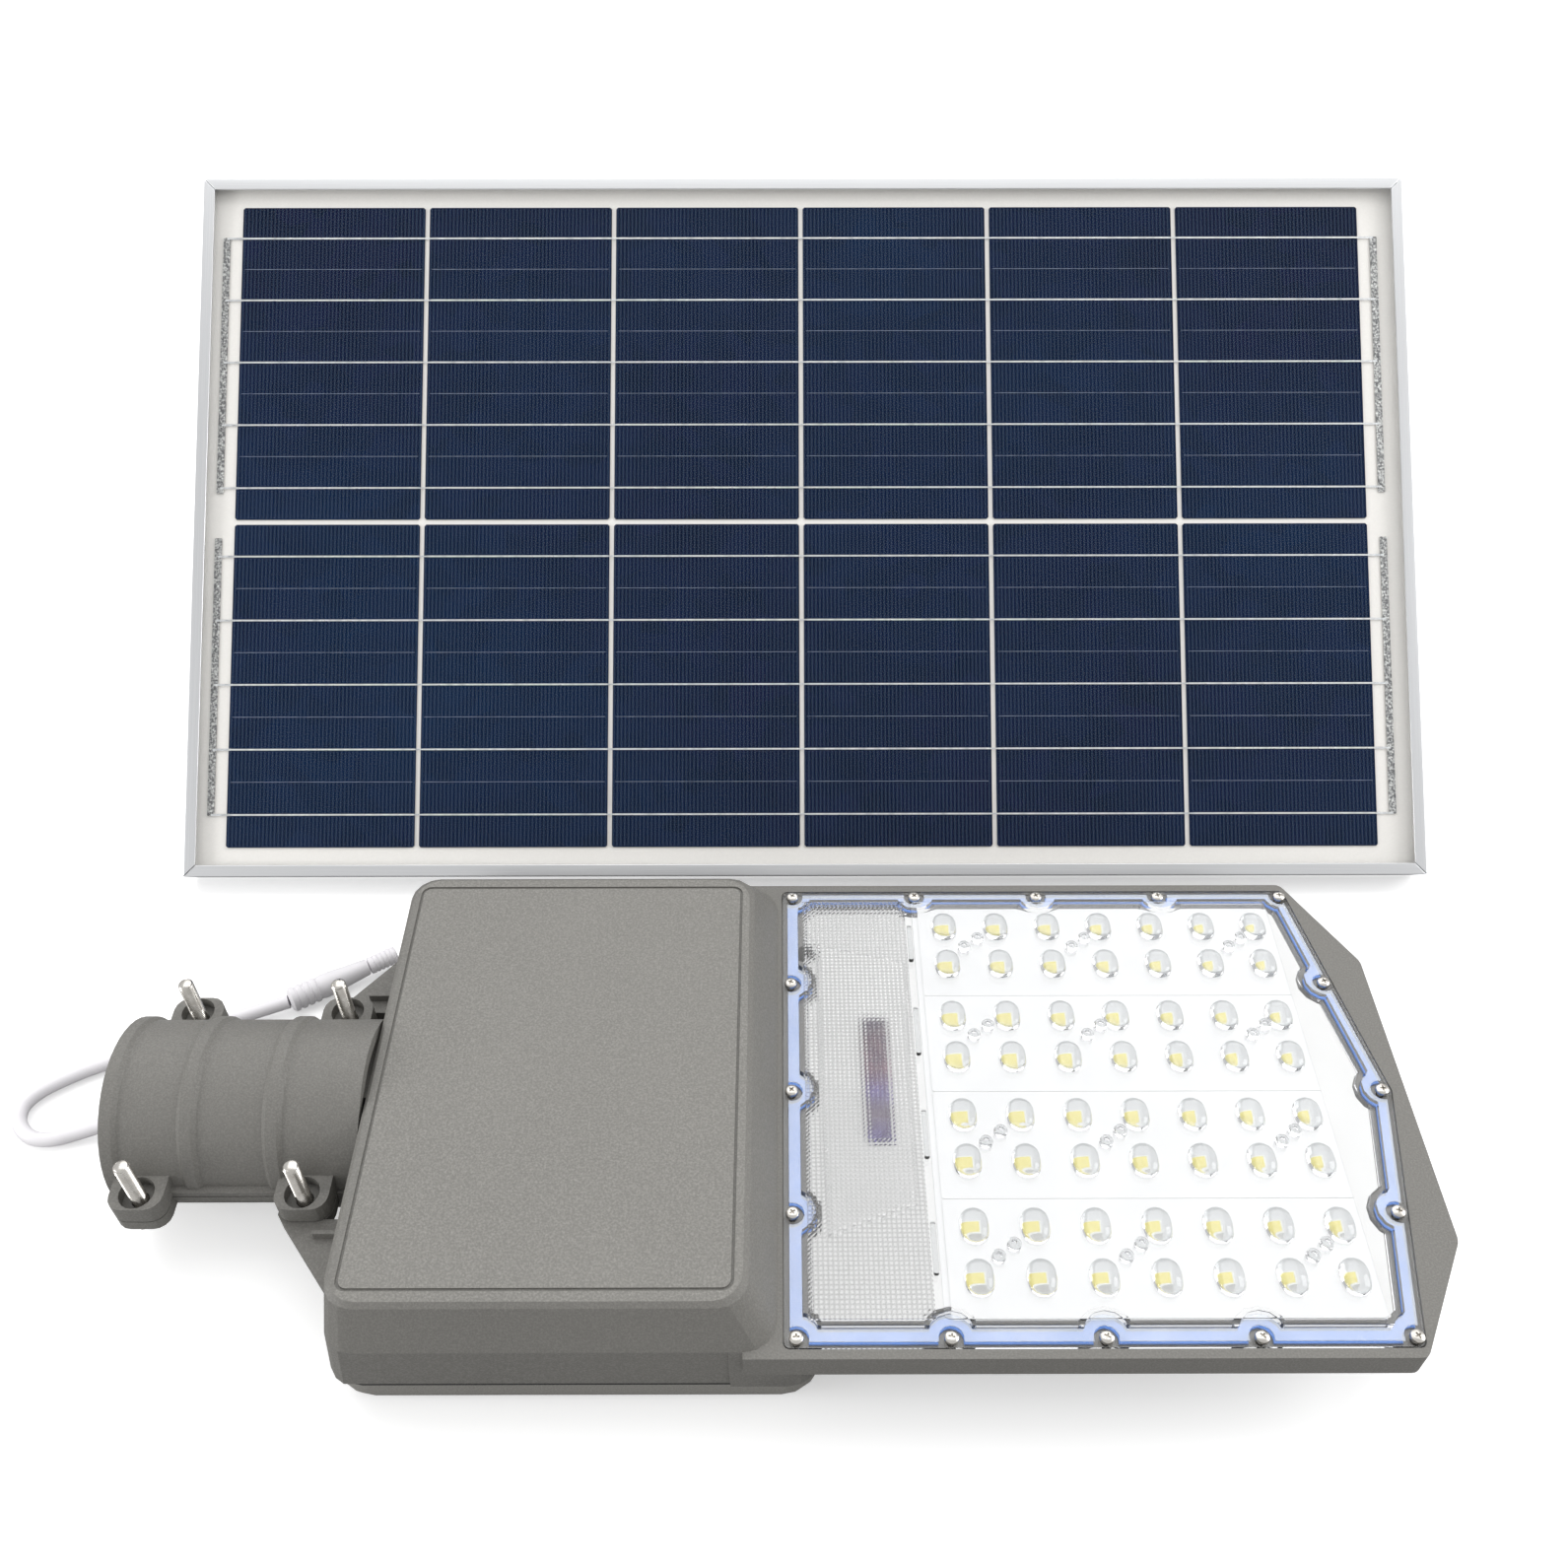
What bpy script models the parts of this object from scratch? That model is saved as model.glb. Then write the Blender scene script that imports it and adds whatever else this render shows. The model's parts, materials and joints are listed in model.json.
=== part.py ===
"""Solar street lamp: lamp head with pole clamp, battery box and LED tray, and its tilting solar panel.

The lamp head lies on its battery cover with the light side up, and the panel unit stands behind it on
its bottom edge and its own tilt yoke. Metres, +Z up. The origin is the centre of the battery cover's
rest face. +X runs from the battery box to the tip of the LED tray.
"""
import math

import bmesh
import bpy
from mathutils import Matrix, Vector

# ---------------------------------------------------------------- driving dimensions (metres)
GAP = 0.0003                 # between pieces that touch
MERGE = 0.00001

# battery box
BOX_HALF_X = 0.0885          # at its open rear side
BOX_CORNER_R = 0.012
BOX_WALL = 0.0035
FACE_Z = 0.067               # outer face
FACE_LEFT = -0.0825
FACE_RIGHT = 0.0622
BEVEL_RIGHT = 0.0728         # where the right bevel meets the LED tray
COVER_H = 0.0185             # battery cover
COVER_EDGE_R = 0.009
COVER_WALL = 0.003
COVER_FLOOR = 0.0042
SEAL_H = 0.0021              # battery cover gasket
SEAL_W = 0.004

# LED tray
RIM_Z = 0.049
TRAY_DEPTH = 0.0122
TRAY_HALF_Y = 0.107          # half the lamp head's width
WELL_Z = 0.0455              # floor of the light well
TRAY_FLOOR = 0.003
FIN_POCKET_IN = 0.0105       # recess under the tray, in from the lens cover's edge
TIP_X = 0.3193
LENS_LEFT = 0.075
LENS_T = 0.0022
LENS_RISE = 0.0032           # the lens cover's raised middle above its flange
LENS_BODY_IN = 0.0066        # edge of the raised middle
LENS_BODY_EAR = 0.0040
LENS_SEAT = 0.004            # depth of the seat under the rim
LENS_SEAL_T = 0.0010
LENS_SEAL_OUT = 0.0020       # gasket edges, in from the edge of the lens cover
LENS_SEAL_IN = 0.0064
LIGHT_WELL_IN = 0.0070
SCREW_EAR_R = 0.0045         # gasket keeps this far from a screw's centre
SEAL_EAR = 0.0038            # the gasket's width round a screw, then the well's and the board's edges
WELL_EAR = 0.0044
BOARD_IN = 0.0094
BOARD_EAR = 0.0066
LENS_SCREW_R = 0.0013
LENS_SCREW_HEAD_R = 0.0025
LENS_SCREW_HEAD_H = 0.0016
LENS_SCREW_LEN = 0.0085
LENS_SCREW_INSET = 0.0032
LED_BOARD_T = 0.0016
FIN_H = 0.0045
FIN_T = 0.0022
FIN_COUNT = 9

# pole clamp
POLE_D = 0.060
CLAMP_CLEARANCE = 0.001
CLAMP_WALL = 0.0045
CLAMP_MOUTH_X = -0.181
RIB_H = 0.0014
RIB_W = 0.0055
RIB_X = (-0.1783, -0.1484, -0.1164)
LUG_X = (-0.1668, -0.1050)
LUG_HALF_X = 0.0102
LUG_END = 0.0072             # past the bolt's centre
CAP_LUG_H = 0.0085
SADDLE_LUG_H = 0.0050
LUG_RECESS_R = 0.0066
LUG_RECESS_DEPTH = 0.0052
BOLT_R = 0.003
BOLT_HEAD_AF = 0.010
BOLT_HEAD_H = 0.004
BOLT_OUT = 0.019             # thread that stands above the cap's lug
CAP_END_GAP = 0.0012         # clamp cap to the box's left wall

# lamp lead
LEAD_D = 0.0062
PLUG_R = 0.0056
GLAND_LEN = 0.0165

# solar panel
PANEL_W = 0.597
PANEL_H = 0.347
PANEL_T = 0.016
PANEL_TILT = math.radians(40.55)
PANEL_X = 0.086
PANEL_Y = 0.1458             # front bottom edge
FRAME_LIP = 0.0055
FRAME_WALL = 0.0016
FRAME_FLANGE = 0.014
GLASS_T = 0.003
LAMINATE_SIDE = 0.020        # from the frame's outside to the first cell
LAMINATE_END = 0.0135
CELL_GAP = 0.0022
ROW_GAP = 0.0025
CELL_T = 0.0003
CELLS = 6
RIBBONS = 5
RIBBON_W = 0.0016
BUS_W = 0.0035
BUS_OFFSET = 0.0078          # bus ribbon's centre, out from the last cell
BACKSHEET_T = 0.0005
STRING_SHIFT = -0.0015       # the strings sit this far off the panel's middle

# tilt yoke
YOKE_PIVOT_BACK = 0.036      # pivot's distance behind the panel's front face
YOKE_BAR_T = 0.003
YOKE_BAR_W = 0.024
YOKE_FOOT_W = 0.030
YOKE_HOLE_R = 0.0035
EAR_T = 0.003
PIVOT_R = 0.003
KNOB_R = 0.009

# worked out from the above
TRAY_BOTTOM = RIM_Z - TRAY_DEPTH
BOX_BOTTOM = COVER_H + SEAL_H + 2 * GAP
LENS_SEAT_Z = RIM_Z - LENS_SEAT
LENS_Z = LENS_SEAT_Z + LENS_SEAL_T + 2 * GAP
BOX_HALF_Y = TRAY_HALF_Y - 0.0025
FACE_HALF_Y = BOX_HALF_Y - 0.0085
COVER_HALF_Y = BOX_HALF_Y - 0.003
TIP_HALF_Y = TRAY_HALF_Y - 0.043
SHOULDER_X = TIP_X - 0.0231
LENS_RIGHT = TIP_X - 0.0240
LENS_APEX = TIP_X - 0.0058
LENS_HALF_Y = TRAY_HALF_Y - 0.004
LENS_SCREW_PITCH = (LENS_RIGHT - LENS_LEFT - 0.0063) / 4
LENS_SCREW_SIDE_Y = 0.5107 * LENS_HALF_Y
BORE_R = POLE_D / 2 + CLAMP_CLEARANCE
BARREL_R = BORE_R + CLAMP_WALL
CLAMP_AXIS_Z = BARREL_R + 0.0015
LUG_Y = BARREL_R + 0.006
WEB_OUT_Y = BOX_HALF_Y - 0.0265
GLAND_Z = CLAMP_AXIS_Z - 0.007
CELL_W = (PANEL_W - 2 * LAMINATE_SIDE - (CELLS - 1) * CELL_GAP) / CELLS
CELL_H = (PANEL_H - 2 * LAMINATE_END - ROW_GAP) / 2
YOKE_PIVOT_UP = 0.663 * PANEL_H
YOKE_HALF_W = PANEL_W / 2 - 0.0222
YOKE_HOLE_X = 0.65 * YOKE_HALF_W
BOX_LEFT = -BOX_HALF_X
LUG_TOP = CLAMP_AXIS_Z + GAP + CAP_LUG_H
PANEL_Z = PANEL_T * math.cos(PANEL_TILT)
WIRE_HOLE_Y = 0.68 * LENS_HALF_Y
COVER_POST = (BOX_HALF_X - 0.0105, BOX_HALF_Y - 0.0125)

PARTS = "solar_street_lamp"
CUTTERS = "cutters"


# ---------------------------------------------------------------- scene and materials
def clear_scene():
    for ob in list(bpy.data.objects):
        bpy.data.objects.remove(ob, do_unlink=True)
    for name in (PARTS, CUTTERS):
        bpy.context.scene.collection.children.link(bpy.data.collections.new(name))


def material(name, rgb, roughness, metallic=0.0, alpha=1.0):
    mat = bpy.data.materials.get(name)
    if mat is None:
        mat = bpy.data.materials.new(name)
        mat.use_nodes = True
        shader = mat.node_tree.nodes["Principled BSDF"]
        shader.inputs["Base Color"].default_value = (*rgb, 1.0)
        shader.inputs["Roughness"].default_value = roughness
        shader.inputs["Metallic"].default_value = metallic
        shader.inputs["Alpha"].default_value = alpha
        mat.diffuse_color = (*rgb, alpha)
    return mat


def cast_grey():
    return material("cast_grey_paint", (0.17, 0.17, 0.155), 0.55)


def steel():
    return material("zinc_steel", (0.62, 0.58, 0.54), 0.3, 1.0)


def anodised():
    return material("anodised_frame", (0.72, 0.73, 0.74), 0.35, 1.0)


def white_plastic():
    return material("white_cable_plastic", (0.85, 0.84, 0.86), 0.5)


def black_rubber():
    return material("black_rubber", (0.02, 0.02, 0.02), 0.7)


def board_white():
    return material("white_board", (0.85, 0.85, 0.84), 0.4)


# ---------------------------------------------------------------- shape helpers
def link(ob, collection=CUTTERS):
    bpy.data.collections[collection].objects.link(ob)
    if collection == CUTTERS:
        ob.hide_render = True
        ob.display_type = "WIRE"
    return ob


def settle(ob):
    """Bake an object's modifiers and its place into one welded mesh, with faces pointing out."""
    bpy.context.view_layer.update()
    graph = bpy.context.evaluated_depsgraph_get()
    mesh = bpy.data.meshes.new_from_object(ob.evaluated_get(graph), depsgraph=graph)
    mesh.transform(ob.matrix_world)
    shape = bmesh.new()
    shape.from_mesh(mesh)
    bmesh.ops.remove_doubles(shape, verts=shape.verts, dist=MERGE)
    bmesh.ops.recalc_face_normals(shape, faces=shape.faces)
    shape.to_mesh(mesh)
    shape.free()
    name = ob.name
    bpy.data.objects.remove(ob, do_unlink=True)
    return link(bpy.data.objects.new(name, mesh))


def from_bmesh(shape, name):
    mesh = bpy.data.meshes.new(name)
    shape.to_mesh(mesh)
    shape.free()
    return link(bpy.data.objects.new(name, mesh))


def block(x0, x1, y0, y1, z0, z1, bevel=0.0, segments=2):
    shape = bmesh.new()
    size = Matrix.Diagonal((x1 - x0, y1 - y0, z1 - z0, 1))
    place = Matrix.Translation(((x0 + x1) / 2, (y0 + y1) / 2, (z0 + z1) / 2))
    bmesh.ops.create_cube(shape, size=1.0, matrix=place @ size)
    if bevel:
        bmesh.ops.bevel(shape, geom=shape.edges[:], offset=bevel, segments=segments, affect="EDGES")
    return from_bmesh(shape, "block")


def cylinder(radius, start, end, sides=24):
    start, end = Vector(start), Vector(end)
    turn = (end - start).to_track_quat("Z", "Y").to_matrix().to_4x4()
    shape = bmesh.new()
    bmesh.ops.create_cone(shape, cap_ends=True, segments=sides, radius1=radius,
                          radius2=radius, depth=(end - start).length,
                          matrix=Matrix.Translation((start + end) / 2) @ turn)
    return from_bmesh(shape, "cylinder")


def prism(outline, z0, z1):
    """A flat outline, given as (x, y) points, from z0 to z1."""
    curve = bpy.data.curves.new("outline", "CURVE")
    curve.dimensions = "2D"
    curve.fill_mode = "BOTH"
    curve.extrude = (z1 - z0) / 2
    spline = curve.splines.new("POLY")
    spline.points.add(len(outline) - 1)
    for point, (x, y) in zip(spline.points, outline):
        point.co = (x, y, 0, 1)
    spline.use_cyclic_u = True
    ob = link(bpy.data.objects.new("prism", curve))
    ob.location.z = (z0 + z1) / 2
    return settle(ob)


def rounded(corners, steps=4):
    """Outline through (x, y, radius) corners, each rounded with an arc."""
    outline = []
    count = len(corners)
    for i, (x, y, radius) in enumerate(corners):
        here = Vector((x, y))
        before = Vector(corners[i - 1][:2]) - here
        after = Vector(corners[(i + 1) % count][:2]) - here
        if radius <= 0:
            outline.append((x, y))
            continue
        half = before.angle(after) / 2
        reach = min(radius / math.tan(half), 0.49 * before.length, 0.49 * after.length)
        bend = reach * math.tan(half)
        centre = here + (before.normalized() + after.normalized()).normalized() * bend / math.sin(half)
        first = here + before.normalized() * reach - centre
        last = here + after.normalized() * reach - centre
        sweep = first.angle_signed(last)
        for k in range(steps + 1):
            spoke = first.copy()
            spoke.rotate(Matrix.Rotation(-sweep * k / steps, 2))
            outline.append(tuple(centre + spoke))
    return outline


def rectangle(x0, x1, y0, y1, radius=0.0, steps=4):
    corners = ((x0, y0, radius), (x1, y0, radius), (x1, y1, radius), (x0, y1, radius))
    return rounded(corners, steps)


def turned(profile, start, axis, sides):
    """Turn a (radius, height) profile about an axis from start; it runs top to bottom outside."""
    mesh = bpy.data.meshes.new("profile")
    edges = [(i, i + 1) for i in range(len(profile) - 1)]
    mesh.from_pydata([(r, 0, h) for r, h in profile], edges, [])
    ob = link(bpy.data.objects.new("turned", mesh))
    ob.rotation_euler = Vector(axis).to_track_quat("Z", "Y").to_euler()
    ob.location = start
    screw = ob.modifiers.new("Screw", "SCREW")
    screw.steps = sides
    screw.render_steps = sides
    screw.use_merge_vertices = True
    screw.merge_threshold = MERGE
    return settle(ob)


def tube(points, radius, resolution=2):
    curve = bpy.data.curves.new("tube", "CURVE")
    curve.dimensions = "3D"
    curve.bevel_depth = radius
    curve.bevel_resolution = resolution
    curve.use_fill_caps = True
    spline = curve.splines.new("POLY")
    spline.points.add(len(points) - 1)
    for point, place in zip(spline.points, points):
        point.co = (*place, 1)
    return link(bpy.data.objects.new("tube", curve))


def combine(target, others, operation):
    for other in others:
        step = target.modifiers.new(operation, "BOOLEAN")
        step.operation = operation
        step.solver = "EXACT"
        step.object = other
        target = settle(target)
        bpy.data.objects.remove(other, do_unlink=True)
    return target


def cut(target, *cutters):
    return combine(target, cutters, "DIFFERENCE")


def fuse(target, *others):
    return combine(target, others, "UNION")


def reshape(ob, move):
    """Send each vertex of a mesh through move, a function of its place."""
    for vertex in ob.data.vertices:
        vertex.co = move(vertex.co.copy())
    ob.data.update()
    return ob


def side_plate(corners, x0, x1):
    """A flat plate across X, its outline given as (y, z, radius) corners."""
    return reshape(prism(rounded(corners), x0, x1), lambda place: Vector((place.z, place.x, place.y)))


def slice_at(ob, *heights):
    shape = bmesh.new()
    shape.from_mesh(ob.data)
    for z in heights:
        bmesh.ops.bisect_plane(shape, geom=shape.verts[:] + shape.edges[:] + shape.faces[:],
                               plane_co=(0, 0, z), plane_no=(0, 0, 1))
    shape.to_mesh(ob.data)
    shape.free()
    return ob


def tapered(sections, corner_r, steps=4):
    """Stack of rounded rectangles: sections are (z, x0, x1, half_y) from the bottom up."""
    z0, left, right, half = sections[0]
    ob = prism(rectangle(left, right, -half, half, corner_r, steps), z0, sections[-1][0])
    slice_at(ob, *[section[0] for section in sections[1:-1]])

    def move(place):
        z, x0, x1, half_y = min(sections, key=lambda section: abs(section[0] - place.z))
        share = (place.x - left) / (right - left)
        return Vector((x0 + share * (x1 - x0), place.y * half_y / half, z))

    return reshape(ob, move)


def name_part(ob, name, mat, parent=None, origin=None, smooth=35):
    """Give a finished solid its node name, material, origin and parent."""
    ob = settle(ob)
    collection = bpy.data.collections[PARTS]
    bpy.data.collections[CUTTERS].objects.unlink(ob)
    collection.objects.link(ob)
    ob.name = name
    ob.data.name = name
    ob.hide_render = False
    ob.display_type = "TEXTURED"
    ob.data.materials.clear()
    ob.data.materials.append(mat)
    ob.data.shade_smooth()
    ob.data.set_sharp_from_angle(angle=math.radians(smooth))
    if origin is None:
        corners = [Vector(corner) for corner in ob.bound_box]
        origin = sum(corners, Vector()) / len(corners)
    origin = Vector(origin)
    ob.data.transform(Matrix.Translation(-origin))
    ob.location = origin
    if parent is not None:
        ob.parent = parent
    return ob


def empty(name, location, rotation=(0, 0, 0), parent=None):
    ob = bpy.data.objects.new(name, None)
    bpy.data.collections[PARTS].objects.link(ob)
    ob.location = location
    ob.rotation_euler = rotation
    ob.parent = parent
    return ob


# ---------------------------------------------------------------- lens cover outline and screws
def lens_outline(inset, radius=0.002):
    """The lens cover's outline, moved in by inset on every side."""
    slope = math.atan2(LENS_APEX - LENS_RIGHT, LENS_HALF_Y)
    apex = LENS_APEX - inset / math.cos(slope)
    half = LENS_HALF_Y - inset
    right = apex - half * math.tan(slope)
    left = LENS_LEFT + inset
    return rounded(((left, -half, radius), (right, -half, radius), (apex, 0, 0),
                    (right, half, radius), (left, half, radius)), 3)


def lens_screw_places():
    half = LENS_HALF_Y - LENS_SCREW_INSET
    first = LENS_LEFT + 0.0042
    places = []
    for i in range(5):
        for side in (1, -1):
            places.append((first + i * LENS_SCREW_PITCH, side * half))
    slope = (LENS_APEX - LENS_RIGHT) / LENS_HALF_Y
    edge = LENS_APEX - slope * LENS_SCREW_SIDE_Y
    for y, right in ((LENS_SCREW_SIDE_Y, edge), (0.0, LENS_APEX), (-LENS_SCREW_SIDE_Y, edge)):
        places.append((LENS_LEFT + LENS_SCREW_INSET, y))
        places.append((right - LENS_SCREW_INSET - 0.0004, y))
    return places


def well_shape(inset, ear, z0, z1):
    """The light well's plan at this inset, less a round ear at every screw."""
    shape = prism(lens_outline(inset), z0, z1)
    ears = [cylinder(ear, (x, y, z0 - 0.001), (x, y, z1 + 0.001), 14) for x, y in lens_screw_places()]
    return cut(shape, *ears)


# ---------------------------------------------------------------- housing
def box_left_at(z):
    """X of the battery box's left wall at a height."""
    return BOX_LEFT + (FACE_LEFT - BOX_LEFT) * (z - BOX_BOTTOM) / (FACE_Z - BOX_BOTTOM)


def box_casting():
    waist = RIM_Z
    left_waist = box_left_at(waist)
    upper = tapered(((BOX_BOTTOM, BOX_LEFT, BEVEL_RIGHT, BOX_HALF_Y),
                     (waist, left_waist, BEVEL_RIGHT, BOX_HALF_Y),
                     (FACE_Z - 0.0015, FACE_LEFT - 0.0003, FACE_RIGHT + 0.0009, FACE_HALF_Y + 0.0007),
                     (FACE_Z, FACE_LEFT + 0.0012, FACE_RIGHT - 0.0012, FACE_HALF_Y - 0.0012)), BOX_CORNER_R)
    lower = prism(rectangle(0, BOX_HALF_X, -BOX_HALF_Y, BOX_HALF_Y, BOX_CORNER_R), BOX_BOTTOM,
                  TRAY_BOTTOM + 0.002)
    return fuse(upper, lower)


def box_cavity():
    wall = BOX_WALL
    main = tapered(((BOX_BOTTOM - 0.002, BOX_LEFT + wall, BEVEL_RIGHT - wall, BOX_HALF_Y - wall),
                    (RIM_Z - wall, BOX_LEFT + wall + 0.004, BEVEL_RIGHT - wall, BOX_HALF_Y - wall),
                    (FACE_Z - wall, FACE_LEFT + wall, FACE_RIGHT - wall, FACE_HALF_Y - wall)), 0.008, 3)
    low = block(BEVEL_RIGHT - 2 * wall, BOX_HALF_X - wall, -BOX_HALF_Y + 0.012, BOX_HALF_Y - 0.012,
                BOX_BOTTOM - 0.002, TRAY_BOTTOM - 0.0025)
    return fuse(main, low)


def tray_outline():
    return rounded(((BEVEL_RIGHT - 0.012, -TRAY_HALF_Y, 0), (SHOULDER_X - 0.001, -TRAY_HALF_Y, 0.004),
                    (TIP_X, -TIP_HALF_Y, 0.008), (TIP_X, TIP_HALF_Y, 0.008),
                    (SHOULDER_X - 0.001, TRAY_HALF_Y, 0.004), (BEVEL_RIGHT - 0.012, TRAY_HALF_Y, 0)))


def tray_body():
    body = prism(tray_outline(), TRAY_BOTTOM, RIM_Z)
    recess = cut(prism(lens_outline(FIN_POCKET_IN), TRAY_BOTTOM - 0.001, WELL_Z - TRAY_FLOOR),
                 block(LENS_LEFT, BOX_HALF_X + 0.004, -TRAY_HALF_Y, TRAY_HALF_Y, TRAY_BOTTOM - 0.002, RIM_Z))
    body = cut(body, recess)
    pitch = 2 * (TRAY_HALF_Y - 0.022) / (FIN_COUNT - 1)
    fins = []
    for i in range(FIN_COUNT):
        y = -TRAY_HALF_Y + 0.022 + i * pitch
        fins.append(block(BOX_HALF_X + 0.001, LENS_RIGHT - 0.02, y - FIN_T / 2, y + FIN_T / 2,
                          TRAY_BOTTOM - FIN_H, WELL_Z - TRAY_FLOOR + 0.001))
    return fuse(body, *fins)


def lug_outline(x, side):
    inner = side * (BORE_R + 0.0025)
    outer = side * (LUG_Y + LUG_END)
    corners = [(x - LUG_HALF_X, inner, 0), (x + LUG_HALF_X, inner, 0),
               (x + LUG_HALF_X, outer, 0.006), (x - LUG_HALF_X, outer, 0.006)]
    if side < 0:
        corners.reverse()
    return rounded(corners, 4)


def flange_strip(z0, z1, side):
    inner = side * (BORE_R + 0.002)
    outer = side * (BARREL_R + 0.0027)
    return block(LUG_X[0], LUG_X[1], min(inner, outer), max(inner, outer), z0, z1)


def web_outline(side):
    start = LUG_X[1] - LUG_HALF_X
    corners = [(start, side * (BORE_R + 0.0015), 0), (BOX_LEFT + 0.004, side * (BORE_R + 0.0015), 0),
               (BOX_LEFT + 0.004, side * (WEB_OUT_Y + 0.004), 0), (BOX_LEFT - 0.001, side * WEB_OUT_Y, 0),
               (start, side * (LUG_Y + LUG_END - 0.003), 0)]
    if side < 0:
        corners.reverse()
    return rounded(corners)


def saddle():
    """Lower half of the pole clamp: a half barrel with flanges, lugs and webs to the box."""
    split = CLAMP_AXIS_Z - GAP
    body = cylinder(BARREL_R, (CLAMP_MOUTH_X, 0, CLAMP_AXIS_Z), (BOX_LEFT + 0.004, 0, CLAMP_AXIS_Z), 40)
    body = cut(body, block(BOX_LEFT - 2 * GAP, BOX_LEFT + 0.02, -0.06, 0.06, CLAMP_AXIS_Z - 0.06, BOX_BOTTOM))
    for side in (1, -1):
        web = prism(web_outline(side), split - 0.0105, split + 0.003)
        pocket_y = sorted((side * (BARREL_R + 0.0012), side * (LUG_Y + 0.006)))
        web = cut(web, block(LUG_X[1] + LUG_HALF_X - 0.0045, BOX_LEFT - 0.0016, *pocket_y,
                             split - 0.02, split + 0.01))
        lugs = [prism(lug_outline(x, side), split - SADDLE_LUG_H, split + 0.002) for x in LUG_X]
        body = fuse(body, flange_strip(split - 0.0028, split + 0.001, side), web, *lugs)
    return cut(body, block(CLAMP_MOUTH_X - 0.01, BOX_LEFT + 0.02, -0.1, 0.1, split, CLAMP_AXIS_Z + 0.06))


def bolt_places():
    return [(x, side * LUG_Y) for x in LUG_X for side in (1, -1)]


def housing(lamp):
    body = fuse(box_casting(), tray_body(), saddle())
    body = cut(body, box_cavity(),
               cylinder(BORE_R, (CLAMP_MOUTH_X - 0.01, 0, CLAMP_AXIS_Z),
                        (BOX_LEFT - 0.0006, 0, CLAMP_AXIS_Z), 48))
    posts = [cylinder(0.005, (sx * COVER_POST[0], sy * COVER_POST[1], BOX_BOTTOM),
                      (sx * COVER_POST[0], sy * COVER_POST[1], TRAY_BOTTOM - 0.0015), 16)
             for sx in (1, -1) for sy in (1, -1)]
    standoffs = [cylinder(0.0035, (x, y, 0.0525), (x, y, FACE_Z - BOX_WALL + 0.001), 12)
                 for x in (-0.05, 0.03) for y in (-0.03, 0.03)]
    body = fuse(body, *posts, *standoffs)
    seat = prism(lens_outline(-0.0005, 0.0025), LENS_SEAT_Z, RIM_Z + 0.002)
    well = well_shape(LIGHT_WELL_IN, SCREW_EAR_R + WELL_EAR, WELL_Z, RIM_Z)
    body = cut(body, seat, well)
    split = CLAMP_AXIS_Z - GAP
    holes = [cylinder(0.0021, (sx * COVER_POST[0], sy * COVER_POST[1], BOX_BOTTOM - 0.001),
                      (sx * COVER_POST[0], sy * COVER_POST[1], TRAY_BOTTOM - 0.004), 12)
             for sx in (1, -1) for sy in (1, -1)]
    holes += [cylinder(LENS_SCREW_R + GAP, (x, y, LENS_Z - LENS_SCREW_LEN - GAP), (x, y, RIM_Z), 10)
              for x, y in lens_screw_places()]
    holes += [cylinder(BOLT_R + GAP, (x, y, split - SADDLE_LUG_H - 0.001), (x, y, split + 0.001), 14)
              for x, y in bolt_places()]
    holes += [cylinder(BOLT_HEAD_AF / 2 + 0.0025, (x, y, split - 0.02), (x, y, split - SADDLE_LUG_H), 14)
              for x, y in bolt_places() if x == LUG_X[1]]
    holes.append(cylinder(0.0062, (BOX_LEFT - 0.01, 0, GLAND_Z), (BOX_LEFT + 0.012, 0, GLAND_Z), 20))
    holes.append(cylinder(0.0045, (LENS_LEFT + 0.0095, WIRE_HOLE_Y, TRAY_BOTTOM - 0.006),
                          (LENS_LEFT + 0.0095, WIRE_HOLE_Y, RIM_Z), 16))
    body = cut(body, *holes)
    return name_part(body, "housing", cast_grey(), lamp)


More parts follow.
